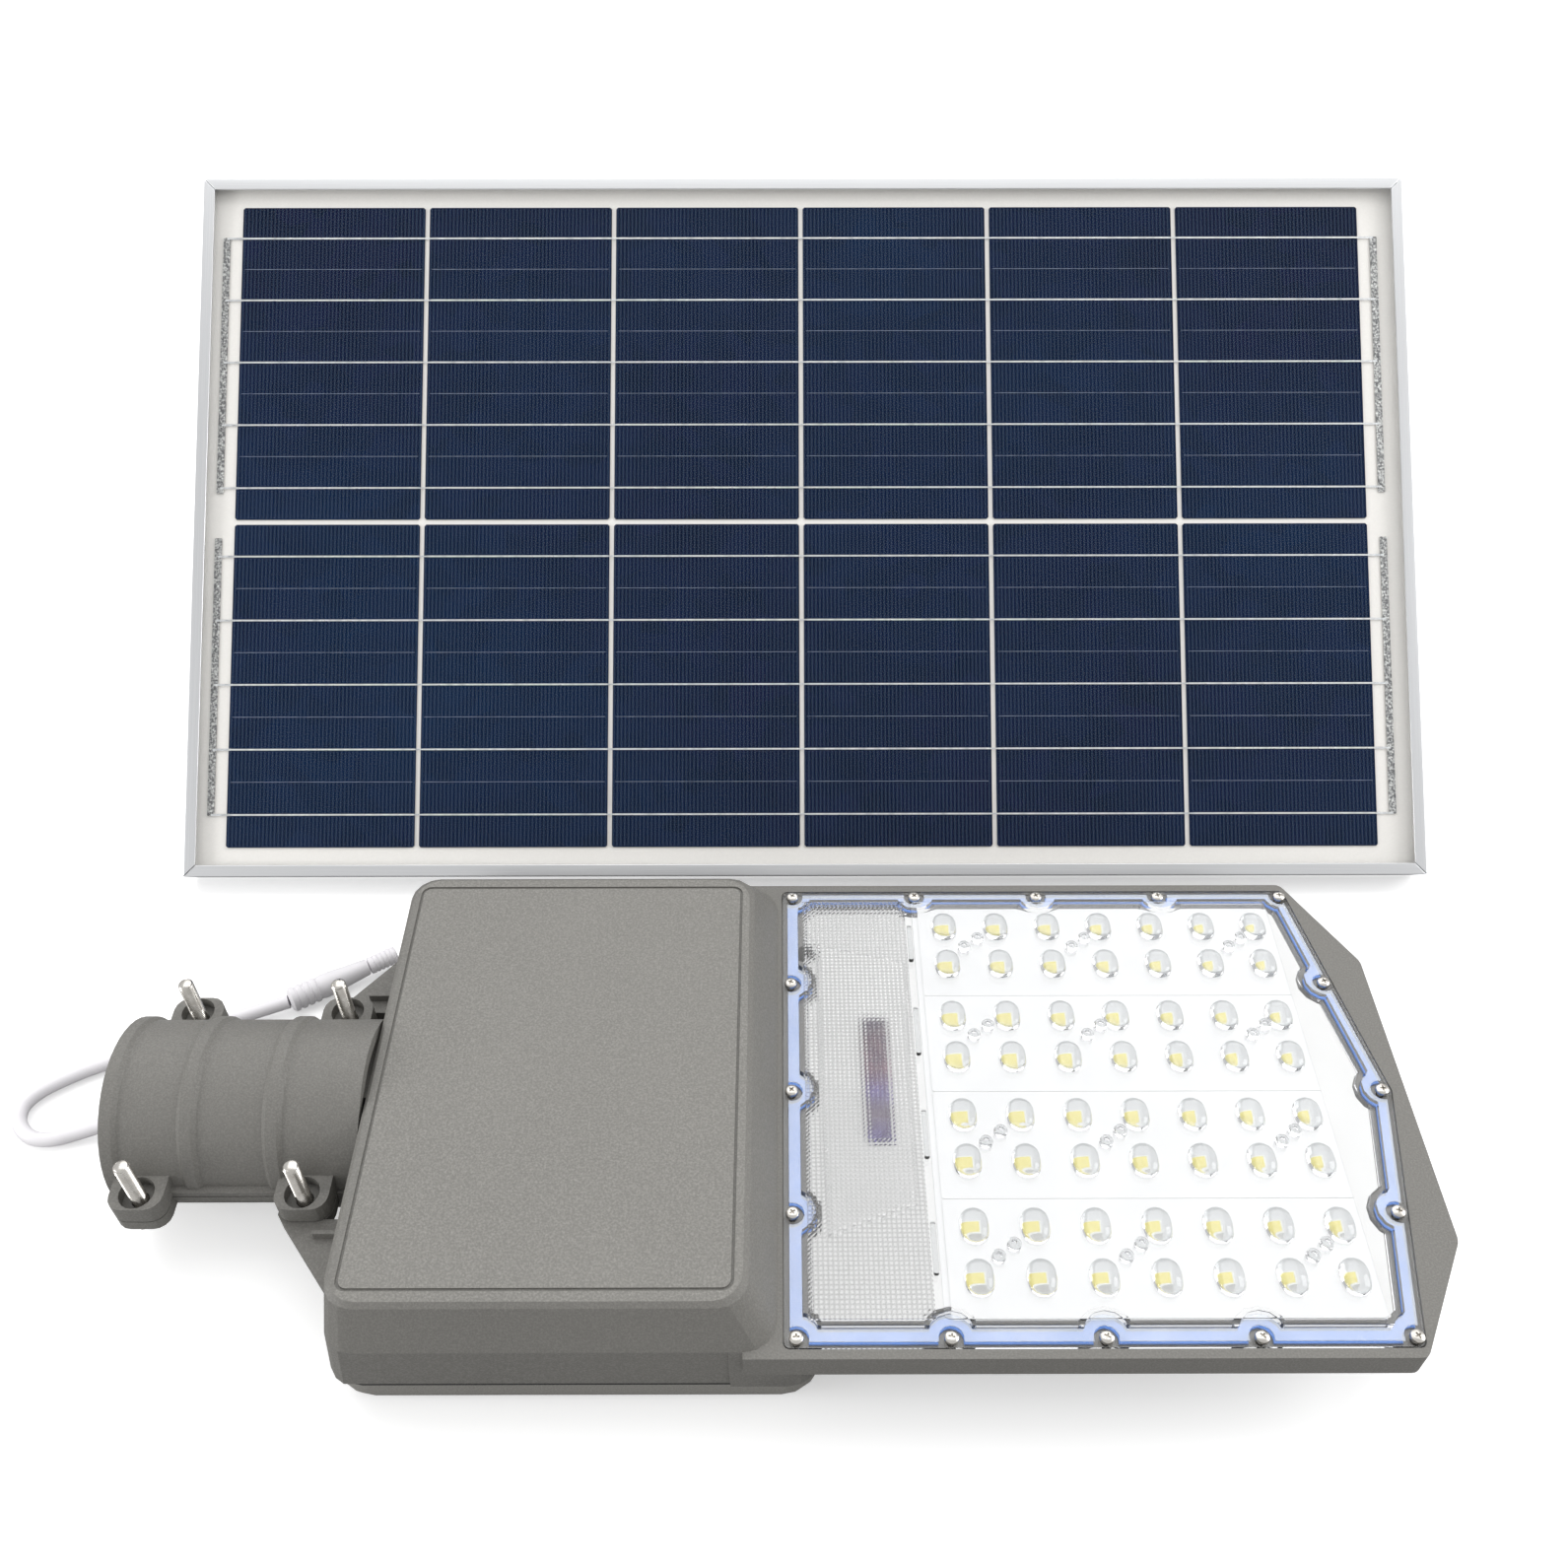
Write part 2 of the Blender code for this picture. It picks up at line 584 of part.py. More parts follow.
# ---------------------------------------------------------------- battery side
def battery_cover(lamp):
    sections = []
    for k in range(4):
        angle = math.pi / 2 * k / 3
        inset = COVER_EDGE_R * (1 - math.sin(angle))
        sections.append((COVER_EDGE_R * (1 - math.cos(angle)), -BOX_HALF_X + inset, BOX_HALF_X - inset,
                         COVER_HALF_Y - inset))
    sections.append((COVER_H, -BOX_HALF_X, BOX_HALF_X, COVER_HALF_Y))
    body = tapered(sections, BOX_CORNER_R)
    wall = COVER_WALL
    body = cut(body, block(-BOX_HALF_X + wall, BOX_HALF_X - wall, -COVER_HALF_Y + wall,
                           COVER_HALF_Y - wall, COVER_FLOOR, COVER_H + 0.004, 0.003, 2))
    spots = [(sx * COVER_POST[0], sy * COVER_POST[1]) for sx in (1, -1) for sy in (1, -1)]
    body = fuse(body, *[cylinder(0.0055, (x, y, 0.002), (x, y, COVER_H), 16) for x, y in spots])
    bores = [cylinder(0.0021, (x, y, -0.001), (x, y, COVER_H + 0.001), 12) for x, y in spots]
    sinks = [cylinder(0.0042, (x, y, -0.001), (x, y, 0.0034), 16) for x, y in spots]
    body = cut(body, *bores, *sinks)
    name_part(body, "battery_cover", cast_grey(), lamp)

    for i, (x, y) in enumerate(spots, 1):
        top = TRAY_BOTTOM - 0.0045
        screw = turned(((0, top), (0.0018, top - 0.001), (0.0018, 0.0030), (0.0038, 0.0030),
                        (0.0038, 0.0012), (0.0032, 0.0006), (0, 0.0006)), (x, y, 0), (0, 0, 1), 8)
        name_part(screw, f"battery_cover_screw_{i}", steel(), lamp)

    z0 = COVER_H + GAP
    ring = prism(rectangle(-BOX_HALF_X + 0.0008, BOX_HALF_X - 0.0008, -BOX_HALF_Y + 0.0018,
                           BOX_HALF_Y - 0.0018, BOX_CORNER_R), z0, z0 + SEAL_H)
    hole = prism(rectangle(-BOX_HALF_X + SEAL_W, BOX_HALF_X - SEAL_W, -BOX_HALF_Y + SEAL_W + 0.001,
                           BOX_HALF_Y - SEAL_W - 0.001, BOX_CORNER_R - SEAL_W), z0 - 0.001, z0 + 0.01)
    name_part(cut(ring, hole), "battery_cover_gasket", black_rubber(), lamp)


def battery(lamp):
    low = COVER_FLOOR + GAP
    half = COVER_HALF_Y - 0.0195
    pack = block(-0.056, 0.056, -half, half, low, low + 0.036, 0.003, 2)
    name_part(pack, "battery_pack", material("battery_wrap", (0.02, 0.12, 0.35), 0.4), lamp)
    top = low + 0.036 + GAP
    strap = block(-0.014, 0.014, -half - 0.0018, half + 0.0018, top, top + 0.0015)
    legs = [block(-0.014, 0.014, *sorted((side * (half + GAP), side * (half + 0.0018))), low, top + 0.001)
            for side in (1, -1)]
    feet = [block(-0.014, 0.014, *sorted((side * (half + 0.0008), side * (half + 0.0110))), low, low + 0.0015)
            for side in (1, -1)]
    name_part(fuse(strap, *legs, *feet), "battery_bracket", steel(), lamp)


def controller(lamp):
    base = 0.0522 - 0.0016
    board = block(-0.058, 0.038, -0.036, 0.036, base, base + 0.0016)
    coil = cylinder(0.008, (-0.03, 0.012, base - 0.006), (-0.03, 0.012, base + 0.0005), 20)
    chips = [block(0.0, 0.012, -0.02, -0.006, base - 0.002, base + 0.0005),
             block(-0.045, -0.030, -0.028, -0.012, base - 0.004, base + 0.0005),
             block(0.015, 0.033, 0.008, 0.030, base - 0.007, base + 0.0005)]
    name_part(fuse(board, coil, *chips), "controller_board",
              material("green_board", (0.02, 0.2, 0.07), 0.45), lamp)


# ---------------------------------------------------------------- light side
def light_side(lamp):
    base = WELL_Z + GAP
    board = well_shape(BOARD_IN, SCREW_EAR_R + BOARD_EAR, base, base + LED_BOARD_T)
    board = cut(board, cylinder(0.0045, (LENS_LEFT + 0.0095, WIRE_HOLE_Y, base - 0.01),
                                (LENS_LEFT + 0.0095, WIRE_HOLE_Y, base + 0.01), 16))
    name_part(board, "led_board", board_white(), lamp)

    z = base + LED_BOARD_T + GAP
    strip = block(0.1075, 0.1165, -0.022, 0.034, z, z + 0.0012)
    eye = cylinder(0.0022, (0.112, 0.006, z + 0.0006), (0.112, 0.006, LENS_Z + LENS_RISE - GAP), 16)
    name_part(fuse(strip, eye), "sensor_board", material("dark_board", (0.04, 0.03, 0.05), 0.4), lamp)

    z = LENS_SEAT_Z + GAP
    seal = well_shape(LENS_SEAL_OUT, SCREW_EAR_R, z, z + LENS_SEAL_T)
    inner = well_shape(LENS_SEAL_IN, SCREW_EAR_R + SEAL_EAR, z - 0.002, z + 0.004)
    name_part(cut(seal, inner), "lens_gasket", material("blue_silicone", (0.05, 0.17, 0.62), 0.45), lamp)

    flange = prism(lens_outline(0), LENS_Z, LENS_Z + LENS_T)
    raised = well_shape(LENS_BODY_IN, SCREW_EAR_R + LENS_BODY_EAR, LENS_Z + 0.0005,
                        LENS_Z + LENS_T + LENS_RISE)
    hollow = well_shape(LENS_BODY_IN + LENS_T, SCREW_EAR_R + LENS_BODY_EAR + LENS_T, LENS_Z - 0.001,
                        LENS_Z + LENS_RISE)
    cover = cut(fuse(flange, raised), hollow)
    cover = cut(cover, *[cylinder(LENS_SCREW_R + GAP, (x, y, LENS_Z - 0.002), (x, y, RIM_Z + 0.002), 10)
                         for x, y in lens_screw_places()])
    name_part(cover, "lens_cover", material("clear_polycarbonate", (0.9, 0.93, 0.97), 0.08, 0, 0.35), lamp)

    seat = LENS_Z + LENS_T + GAP
    head = LENS_SCREW_HEAD_H
    profile = ((0, head), (LENS_SCREW_HEAD_R * 0.6, head * 0.92), (LENS_SCREW_HEAD_R, head * 0.4),
               (LENS_SCREW_HEAD_R, 0), (LENS_SCREW_R, 0), (LENS_SCREW_R, -LENS_SCREW_LEN + 0.002),
               (0, -LENS_SCREW_LEN + 0.001))
    for i, (x, y) in enumerate(lens_screw_places(), 1):
        name_part(turned(profile, (x, y, seat), (0, 0, 1), 10), f"lens_screw_{i:02d}", steel(), lamp)


# ---------------------------------------------------------------- clamp cap and bolts
def clamp_cap(lamp):
    split = CLAMP_AXIS_Z + GAP
    end = FACE_LEFT
    profile = [(0, end), (BARREL_R, end)]
    for x in sorted(RIB_X, reverse=True):
        half = RIB_W / 2
        if x - half - 0.001 > CLAMP_MOUTH_X:
            profile += [(BARREL_R, x + half + 0.001), (BARREL_R + RIB_H, x + half - 0.0006),
                        (BARREL_R + RIB_H, x - half + 0.0006), (BARREL_R, x - half - 0.001)]
        else:
            profile += [(BARREL_R, x + half + 0.001), (BARREL_R + RIB_H, x + half - 0.0006),
                        (BARREL_R + RIB_H, CLAMP_MOUTH_X + 0.0006),
                        (BARREL_R + RIB_H - 0.0006, CLAMP_MOUTH_X)]
    profile.append((0, CLAMP_MOUTH_X))
    barrel = turned(profile, (0, 0, CLAMP_AXIS_Z), (1, 0, 0), 48)
    parts = []
    for side in (1, -1):
        parts.append(flange_strip(split - 0.001, split + 0.0025, side))
        parts += [prism(lug_outline(x, side), split - 0.002, split + CAP_LUG_H) for x in LUG_X]
    cap = fuse(barrel, *parts)
    below = block(CLAMP_MOUTH_X - 0.01, end + 0.01, -0.08, 0.08, CLAMP_AXIS_Z - 0.06, split)
    bore = cylinder(BORE_R, (CLAMP_MOUTH_X - 0.01, 0, CLAMP_AXIS_Z), (end + 0.01, 0, CLAMP_AXIS_Z), 48)
    foot = box_left_at(split) - CAP_END_GAP
    head = box_left_at(FACE_Z) - CAP_END_GAP
    top = CLAMP_AXIS_Z + 0.05
    beyond = reshape(prism(((foot, split - 0.01), (0.02, split - 0.01), (0.02, top), (head, top),
                            (head, FACE_Z)), -0.08, 0.08),
                     lambda place: Vector((place.x, -place.z, place.y)))
    cap = cut(cap, below, bore, beyond)
    for x, y in bolt_places():
        cap = cut(cap, cylinder(LUG_RECESS_R, (x, y, LUG_TOP - LUG_RECESS_DEPTH), (x, y, LUG_TOP + 0.02), 20),
                  cylinder(BOLT_R + GAP, (x, y, split - 0.005), (x, y, LUG_TOP), 14))
    name_part(cap, "clamp_cap", cast_grey(), lamp)


def clamp_bolts(lamp):
    under = CLAMP_AXIS_Z - GAP - SADDLE_LUG_H - GAP
    top = LUG_TOP + BOLT_OUT
    for i, (x, y) in enumerate(bolt_places(), 1):
        shank = turned(((0, top), (BOLT_R - 0.0006, top), (BOLT_R, top - 0.0006), (BOLT_R, under - 0.002),
                        (0, under - 0.002)), (x, y, 0), (0, 0, 1), 14)
        head = cylinder(BOLT_HEAD_AF / 2 / math.cos(math.pi / 6), (x, y, under - BOLT_HEAD_H),
                        (x, y, under), 6)
        name_part(fuse(shank, head), f"clamp_bolt_{i}", steel(), lamp, (x, y, under))


# ---------------------------------------------------------------- lead and its plug
PLUG_START = Vector((-0.1465, 0.0765, PLUG_R + 0.0006))
PLUG_END = Vector((-0.1030, 0.1035, PLUG_R + 0.0006))
LEAD_ROUTE = (
    (-0.1062, 0.0000, GLAND_Z), (-0.1150, 0.0000, GLAND_Z - 0.0008), (-0.1260, 0.0005, 0.0235),
    (-0.1370, 0.0015, 0.0165), (-0.1490, 0.0035, 0.0118), (-0.1620, 0.0060, 0.0109),
    (-0.1740, 0.0082, 0.0116), (-0.1850, 0.0105, 0.0122), (-0.1960, 0.0130, 0.0099),
    (-0.2075, 0.0132, 0.0064), (-0.2190, 0.0105, 0.0042), (-0.2300, 0.0075, 0.0035),
    (-0.2395, 0.0085, 0.0035), (-0.2470, 0.0150, 0.0035), (-0.2485, 0.0235, 0.0035),
    (-0.2425, 0.0315, 0.0035), (-0.2300, 0.0400, 0.0035), (-0.2150, 0.0475, 0.0035),
    (-0.1950, 0.0580, 0.0035), (-0.1760, 0.0665, 0.0037), (-0.1610, 0.0715, 0.0048),
    (-0.1468, 0.0763, 0.0061),
)


def smooth_route(route, spacing):
    """Points a fixed distance apart on a smooth curve through the route's own points."""
    ends = [2 * Vector(route[0]) - Vector(route[1])] + [Vector(point) for point in route]
    ends.append(2 * Vector(route[-1]) - Vector(route[-2]))
    fine = []
    for i in range(1, len(ends) - 2):
        p0, p1, p2, p3 = ends[i - 1:i + 3]
        for k in range(16):
            t = k / 16
            fine.append(0.5 * (2 * p1 + (p2 - p0) * t + (2 * p0 - 5 * p1 + 4 * p2 - p3) * t * t
                               + (3 * p1 - p0 - 3 * p2 + p3) * t ** 3))
    fine.append(ends[-2])
    total = sum((b - a).length for a, b in zip(fine, fine[1:]))
    count = max(2, round(total / spacing))
    points = [fine[0]]
    walked = 0.0
    for a, b in zip(fine, fine[1:]):
        step = (b - a).length
        while walked + step >= total * len(points) / count and len(points) < count:
            share = (total * len(points) / count - walked) / step
            points.append(a.lerp(b, share))
        walked += step
    points.append(fine[-1])
    return points


def lamp_lead(lamp):
    wall = BOX_LEFT - GAP
    gland = turned(((0, 0.0088), (0.0058, 0.0088), (0.0058, 0), (0.0085, 0), (0.0085, -0.0055),
                    (0.0068, -0.0065), (0.0068, -0.0115), (0.0045, -GLAND_LEN + 0.0008),
                    (0.0042, -GLAND_LEN), (0, -GLAND_LEN)), (wall - 0.0003, 0, GLAND_Z), (1, 0, 0), 16)
    name_part(gland, "cable_gland", black_rubber(), lamp)
    name_part(settle(tube(smooth_route(LEAD_ROUTE, 0.009), LEAD_D / 2)), "lamp_lead", white_plastic(), lamp)

    axis = (PLUG_END - PLUG_START).normalized()
    grip = turned(((0, 0.0370), (0.0036, 0.0370), (0.0040, 0.0330), (0.0050, 0.0220), (0.0054, 0.0145),
                   (0.0052, 0.0135), (0.0056, 0.0130), (0.0056, 0.0105), (0.0049, 0.0100),
                   (0.0049, 0.0090), (0.0056, 0.0085), (0.0056, 0.0060), (0.0049, 0.0055),
                   (0.0049, 0.0045), (0.0056, 0.0040), (0.0056, 0.0012), (0.0048, 0.0003),
                   (0, 0.0003)), PLUG_START, axis, 16)
    name_part(grip, "plug_grip", white_plastic(), lamp)
    ribs = []
    for i in range(4):
        h = 0.0135 - i * 0.0032
        ribs += [(0.0040, h), (0.0040, h - 0.0014), (0.0034, h - 0.0017), (0.0034, h - 0.0023)]
    sleeve = turned(((0, 0.0137), (0.0034, 0.0137), *ribs, (0.0040, 0.0003), (0, 0.0003)),
                    PLUG_START + axis * 0.0370, axis, 14)
    name_part(sleeve, "plug_sleeve", white_plastic(), lamp, PLUG_START + axis * 0.0370)


# ---------------------------------------------------------------- solar panel (its own frame)
def frame_rail(length):
    """A frame rail along X, outer face at y = 0, front at z = 0, ends cut at 45 degrees."""
    slot_top = -0.0012
    slot_bottom = slot_top - GLASS_T - 0.0020
    section = ((0, 0), (0, -PANEL_T), (FRAME_FLANGE, -PANEL_T), (FRAME_FLANGE, -PANEL_T + 0.0014),
               (FRAME_WALL, -PANEL_T + 0.0014), (FRAME_WALL, slot_bottom - 0.0012),
               (FRAME_LIP, slot_bottom - 0.0012), (FRAME_LIP, slot_bottom), (FRAME_WALL, slot_bottom),
               (FRAME_WALL, slot_top), (FRAME_LIP, slot_top), (FRAME_LIP, 0))
    rail = prism(section, -length / 2, length / 2)

    def stand(place):
        inset, depth, along = place
        reach = length / 2 - inset - GAP / 2
        return Vector((math.copysign(reach, along), inset, depth))

    return settle(reshape(rail, stand))


def turn_piece(ob, angle, shift):
    ob.data.transform(Matrix.Translation(shift) @ Matrix.Rotation(angle, 4, "Z"))
    return ob


def frame(panel):
    half = PANEL_W / 2
    rails = (("frame_rail_bottom", PANEL_W, 0.0, (0, 0, 0)),
             ("frame_rail_top", PANEL_W, math.pi, (0, PANEL_H, 0)),
             ("frame_rail_left", PANEL_H, -math.pi / 2, (-half, PANEL_H / 2, 0)),
             ("frame_rail_right", PANEL_H, math.pi / 2, (half, PANEL_H / 2, 0)))
    for name, length, angle, shift in rails:
        name_part(turn_piece(frame_rail(length), angle, shift), name, anodised(), panel)


def cell_column_left(i):
    total = CELLS * CELL_W + (CELLS - 1) * CELL_GAP
    return STRING_SHIFT - total / 2 + i * (CELL_W + CELL_GAP)


def row_middle(upper):
    half = (CELL_H + ROW_GAP) / 2
    return PANEL_H / 2 + 0.0005 + (half if upper else -half)


def laminate(panel):
    edge = FRAME_WALL + GAP
    half = PANEL_W / 2 - edge
    z = -0.0012 - GAP
    glass = block(-half, half, edge, PANEL_H - edge, z - GLASS_T, z)
    name_part(glass, "panel_glass", material("textured_glass", (0.8, 0.86, 0.9), 0.12, 0, 0.25), panel)
    z -= GLASS_T + GAP
    tabs = BUS_OFFSET - BUS_W / 2 - GAP
    for name, upper in (("cell_string_upper", True), ("cell_string_lower", False)):
        middle = row_middle(upper)
        cells = []
        for i in range(CELLS):
            left = cell_column_left(i)
            cells.append(block(left, left + CELL_W, middle - CELL_H / 2, middle + CELL_H / 2,
                               z - CELL_T, z))
        ribbons = []
        for k in range(RIBBONS):
            y = middle + (k - (RIBBONS - 1) / 2) * CELL_H / RIBBONS
            ribbons.append(block(cell_column_left(0) - tabs, cell_column_left(CELLS - 1) + CELL_W + tabs,
                                 y - RIBBON_W / 2, y + RIBBON_W / 2, z - CELL_T + 0.00005, z - 0.00005))
        name_part(fuse(cells[0], *ribbons[:1], *cells[1:], *ribbons[1:]), name,
                  material("silicon_cells", (0.012, 0.02, 0.09), 0.3, 0.2), panel)
    low = row_middle(False) - 0.4 * CELL_H
    high = row_middle(True) + 0.4 * CELL_H
    sides = (("bus_ribbon_left", cell_column_left(0) - BUS_OFFSET),
             ("bus_ribbon_right", cell_column_left(CELLS - 1) + CELL_W + BUS_OFFSET))
    for name, x in sides:
        ribbon = block(x - BUS_W / 2, x + BUS_W / 2, low, high, z - CELL_T, z)
        name_part(ribbon, name, material("tinned_copper", (0.7, 0.7, 0.7), 0.35, 1.0), panel)
    z -= CELL_T + GAP
    sheet = block(-half, half, edge, PANEL_H - edge, z - BACKSHEET_T, z)
    name_part(sheet, "backsheet", material("white_backsheet", (0.8, 0.78, 0.75), 0.6), panel)
    return z - BACKSHEET_T


def junction(panel, back):
    z0 = back - GAP
    plastic = material("black_plastic", (0.015, 0.015, 0.016), 0.5)
    low = PANEL_H - 0.085
    high = low + 0.060
    body = block(-0.038, 0.038, low, high, z0 - 0.014, z0, 0.002, 2)
    body = cut(body, block(-0.035, 0.035, low + 0.003, high - 0.003, z0 - 0.02, z0 - 0.003),
               cylinder(0.0045, (0, low - 0.012, z0 - 0.0075), (0, low + 0.008, z0 - 0.0075), 16))
    name_part(body, "junction_box", plastic, panel)
    top = z0 - 0.014 - GAP
    lid = block(-0.038, 0.038, low, high, top - 0.004, top, 0.0015, 2)
    name_part(lid, "junction_box_lid", plastic, panel)
    gland = turned(((0, 0.012), (0.0035, 0.012), (0.0050, 0.0095), (0.0055, 0.004), (0.0055, 0),
                    (0.0041, 0), (0.0041, -0.006), (0, -0.006)),
                   (0, low - GAP, z0 - 0.0075), (0, -1, 0), 14)
    name_part(gland, "junction_gland", plastic, panel)


def tilt_ears(panel):
    """Angle brackets that carry the yoke's pivots, on the back flanges of the short rails."""
    back = -PANEL_T - GAP
    leaf_out = YOKE_HALF_W - YOKE_BAR_T - GAP
    for name, side in (("ear_bracket_left", -1), ("ear_bracket_right", 1)):
        x0, x1 = sorted((side * (leaf_out - EAR_T), side * (PANEL_W / 2 - 0.001)))
        foot = block(x0, x1, YOKE_PIVOT_UP - 0.024, YOKE_PIVOT_UP + 0.024, back - EAR_T, back)
        lx0, lx1 = sorted((side * (leaf_out - EAR_T), side * leaf_out))
        low = -YOKE_PIVOT_BACK
        down, up = YOKE_PIVOT_UP - 0.012, YOKE_PIVOT_UP + 0.012
        leaf = side_plate(((down, low - 0.012, 0.0115), (up, low - 0.012, 0.0115),
                           (up, back - 0.001, 0), (down, back - 0.001, 0)), lx0, lx1)
        hole = cylinder(PIVOT_R + GAP, (lx0 - 0.01, YOKE_PIVOT_UP, low), (lx1 + 0.01, YOKE_PIVOT_UP, low), 20)
        bracket = cut(fuse(foot, leaf), hole)
        name_part(bracket, name, steel(), panel)


def pivot_point():
    up = Vector((0, math.cos(PANEL_TILT), math.sin(PANEL_TILT)))
    out = Vector((0, -math.sin(PANEL_TILT), math.cos(PANEL_TILT)))
    return Vector((PANEL_X, PANEL_Y, PANEL_Z)) + up * YOKE_PIVOT_UP - out * YOKE_PIVOT_BACK


def yoke(panel_unit):
    """U-shaped prop: two arms on the pivots and a flat foot bar, in world coordinates."""
    axis = pivot_point()
    arms = []
    for side in (1, -1):
        x0, x1 = sorted((PANEL_X + side * (YOKE_HALF_W - YOKE_BAR_T), PANEL_X + side * YOKE_HALF_W))
        half = YOKE_BAR_W / 2
        arm = side_plate(((axis.y - half, 0.001, 0), (axis.y + half, 0.001, 0),
                          (axis.y + half, axis.z + half, half - 0.0005),
                          (axis.y - half, axis.z + half, half - 0.0005)), x0, x1)
        hole = cylinder(PIVOT_R + GAP, (x0 - 0.01, axis.y, axis.z), (x1 + 0.01, axis.y, axis.z), 20)
        arms.append(cut(arm, hole))
    foot = block(PANEL_X - YOKE_HALF_W, PANEL_X + YOKE_HALF_W, axis.y - YOKE_FOOT_W / 2,
                 axis.y + YOKE_FOOT_W / 2, 0, YOKE_BAR_T)
    holes = [cylinder(YOKE_HOLE_R, (PANEL_X + x, axis.y, -0.002), (PANEL_X + x, axis.y, 0.006), 14)
             for x in (-YOKE_HOLE_X, YOKE_HOLE_X)]
    body = cut(fuse(foot, *arms), *holes)
    name_part(body, "tilt_yoke", steel(), None, axis)

    leaf_in = YOKE_HALF_W - YOKE_BAR_T - GAP - EAR_T
    for name, side in (("left", -1), ("right", 1)):
        start = Vector((PANEL_X + side * leaf_in, axis.y, axis.z))
        out = Vector((side, 0, 0))
        reach = EAR_T + GAP + YOKE_BAR_T + 0.009
        bolt = turned(((0, reach), (PIVOT_R, reach), (PIVOT_R, -GAP), (0.0055, -GAP), (0.0055, -0.0025),
                       (0.0040, -0.0040), (0, -0.0040)), start, out, 14)
        name_part(bolt, f"pivot_bolt_{name}", steel(), None, start)
        base = start + out * (EAR_T + GAP + YOKE_BAR_T + GAP)
        knob = turned(((0, 0.0135), (0.0060, 0.0135), (0.0085, 0.0125), (KNOB_R, 0.0105), (KNOB_R, 0.0035),
                       (0.0065, 0.0025), (0.0060, 0), (0, 0)), base, out, 16)
        knob = cut(knob, cylinder(PIVOT_R + GAP, base - out * 0.01, base + out * 0.0105, 14))
        name_part(knob, f"pivot_knob_{name}", material("black_plastic", (0.015, 0.015, 0.016), 0.5),
                  None, base)


# ---------------------------------------------------------------- assembly
def build():
    clear_scene()
    lamp = empty("lamp_head", (0, 0, 0))
    housing(lamp)
    battery_cover(lamp)
    battery(lamp)
    controller(lamp)
    light_side(lamp)
    clamp_cap(lamp)
    clamp_bolts(lamp)
    lamp_lead(lamp)
    panel = empty("panel_unit", (PANEL_X, PANEL_Y, PANEL_Z), (PANEL_TILT, 0, 0))
    frame(panel)
    back = laminate(panel)
    junction(panel, back)
    tilt_ears(panel)
    yoke(panel)


build()
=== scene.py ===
"""Solar street lamp: the visible pieces, their finishes, the lights and the camera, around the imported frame."""

import json
import math

import bpy
from mathutils import Matrix, Vector


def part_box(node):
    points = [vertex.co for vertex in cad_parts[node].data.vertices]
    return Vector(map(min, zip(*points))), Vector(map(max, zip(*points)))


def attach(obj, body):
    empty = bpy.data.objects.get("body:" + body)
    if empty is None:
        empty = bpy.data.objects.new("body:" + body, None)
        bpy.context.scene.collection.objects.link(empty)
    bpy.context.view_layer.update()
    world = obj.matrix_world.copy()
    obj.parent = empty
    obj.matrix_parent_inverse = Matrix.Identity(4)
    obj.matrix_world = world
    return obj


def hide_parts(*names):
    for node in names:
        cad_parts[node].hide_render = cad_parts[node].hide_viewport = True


bl_info = {
    "name": "Solar Street Lamp",
    "version": (1, 0, 0),
    "blender": (4, 5, 0),
    "location": "3D View > Sidebar > Street Lamp",
    "description": "Builds the visible pieces of a solar street lamp around its packed frame",
    "category": "Object",
}

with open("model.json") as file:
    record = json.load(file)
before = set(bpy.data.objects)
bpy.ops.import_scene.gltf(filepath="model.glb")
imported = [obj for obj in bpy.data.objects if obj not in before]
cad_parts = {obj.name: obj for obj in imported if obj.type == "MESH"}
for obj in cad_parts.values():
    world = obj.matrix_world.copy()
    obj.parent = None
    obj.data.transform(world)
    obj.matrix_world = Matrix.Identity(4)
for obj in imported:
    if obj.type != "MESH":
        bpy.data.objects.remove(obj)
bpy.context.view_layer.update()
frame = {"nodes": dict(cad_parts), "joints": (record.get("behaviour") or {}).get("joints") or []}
NODES = frame["nodes"]
JOINT_AT = {joint["name"]: joint for joint in frame["joints"]}

# ---------------------------------------------------------------- places and sizes (metres)
# battery box
FACE_Z = 0.067
FACE_PANEL = (-0.0786, 0.0580, 0.0910)       # left, right, half width of the textured field
FACE_GROOVE = 0.0011
BOX_HALF_Y = 0.1045
WAIST_Z = 0.049                              # where the face's slope meets the box's wall
LEDGE = 0.0013                               # how far the slope stands over the wall

# LED side
LENS_LEFT, LENS_RIGHT, LENS_APEX, LENS_HALF = 0.075, 0.2953, 0.3135, 0.103
FLANGE_TOP = 0.0488                          # top of the lens cover's flange
LENS_TOP = 0.0520                            # top of the lens cover's raised middle
BOARD_TOP = 0.0474
LED_X = [0.1439 + 0.02208 * i for i in range(7)]
LED_Y = (-0.0797, -0.0598, -0.0332, -0.0133, 0.0133, 0.0332, 0.0598, 0.0797)
CHIP_SHIFT = 0.0014                          # an LED sits this far up from its dome's middle
RIDGE_X = 0.2845
PRISM_FIELD = (0.0835, 0.1275, 0.0945)       # left, right, half width
TROUGH = ((0.0885, 0.0705), (0.1262, 0.0605), (0.1240, -0.0520), (0.0905, -0.0645))
BOSS_X = (0.1545, 0.2000, 0.2664)
BOSS_Y = (-0.0696, -0.0232, 0.0258, 0.0708)
SCREW_TOP = 0.0491                           # underside of a lens screw's head

# pole clamp
BOLT_TOP = 0.0648
BOLT_SEAT = 0.0314
THREAD_PITCH = 0.001

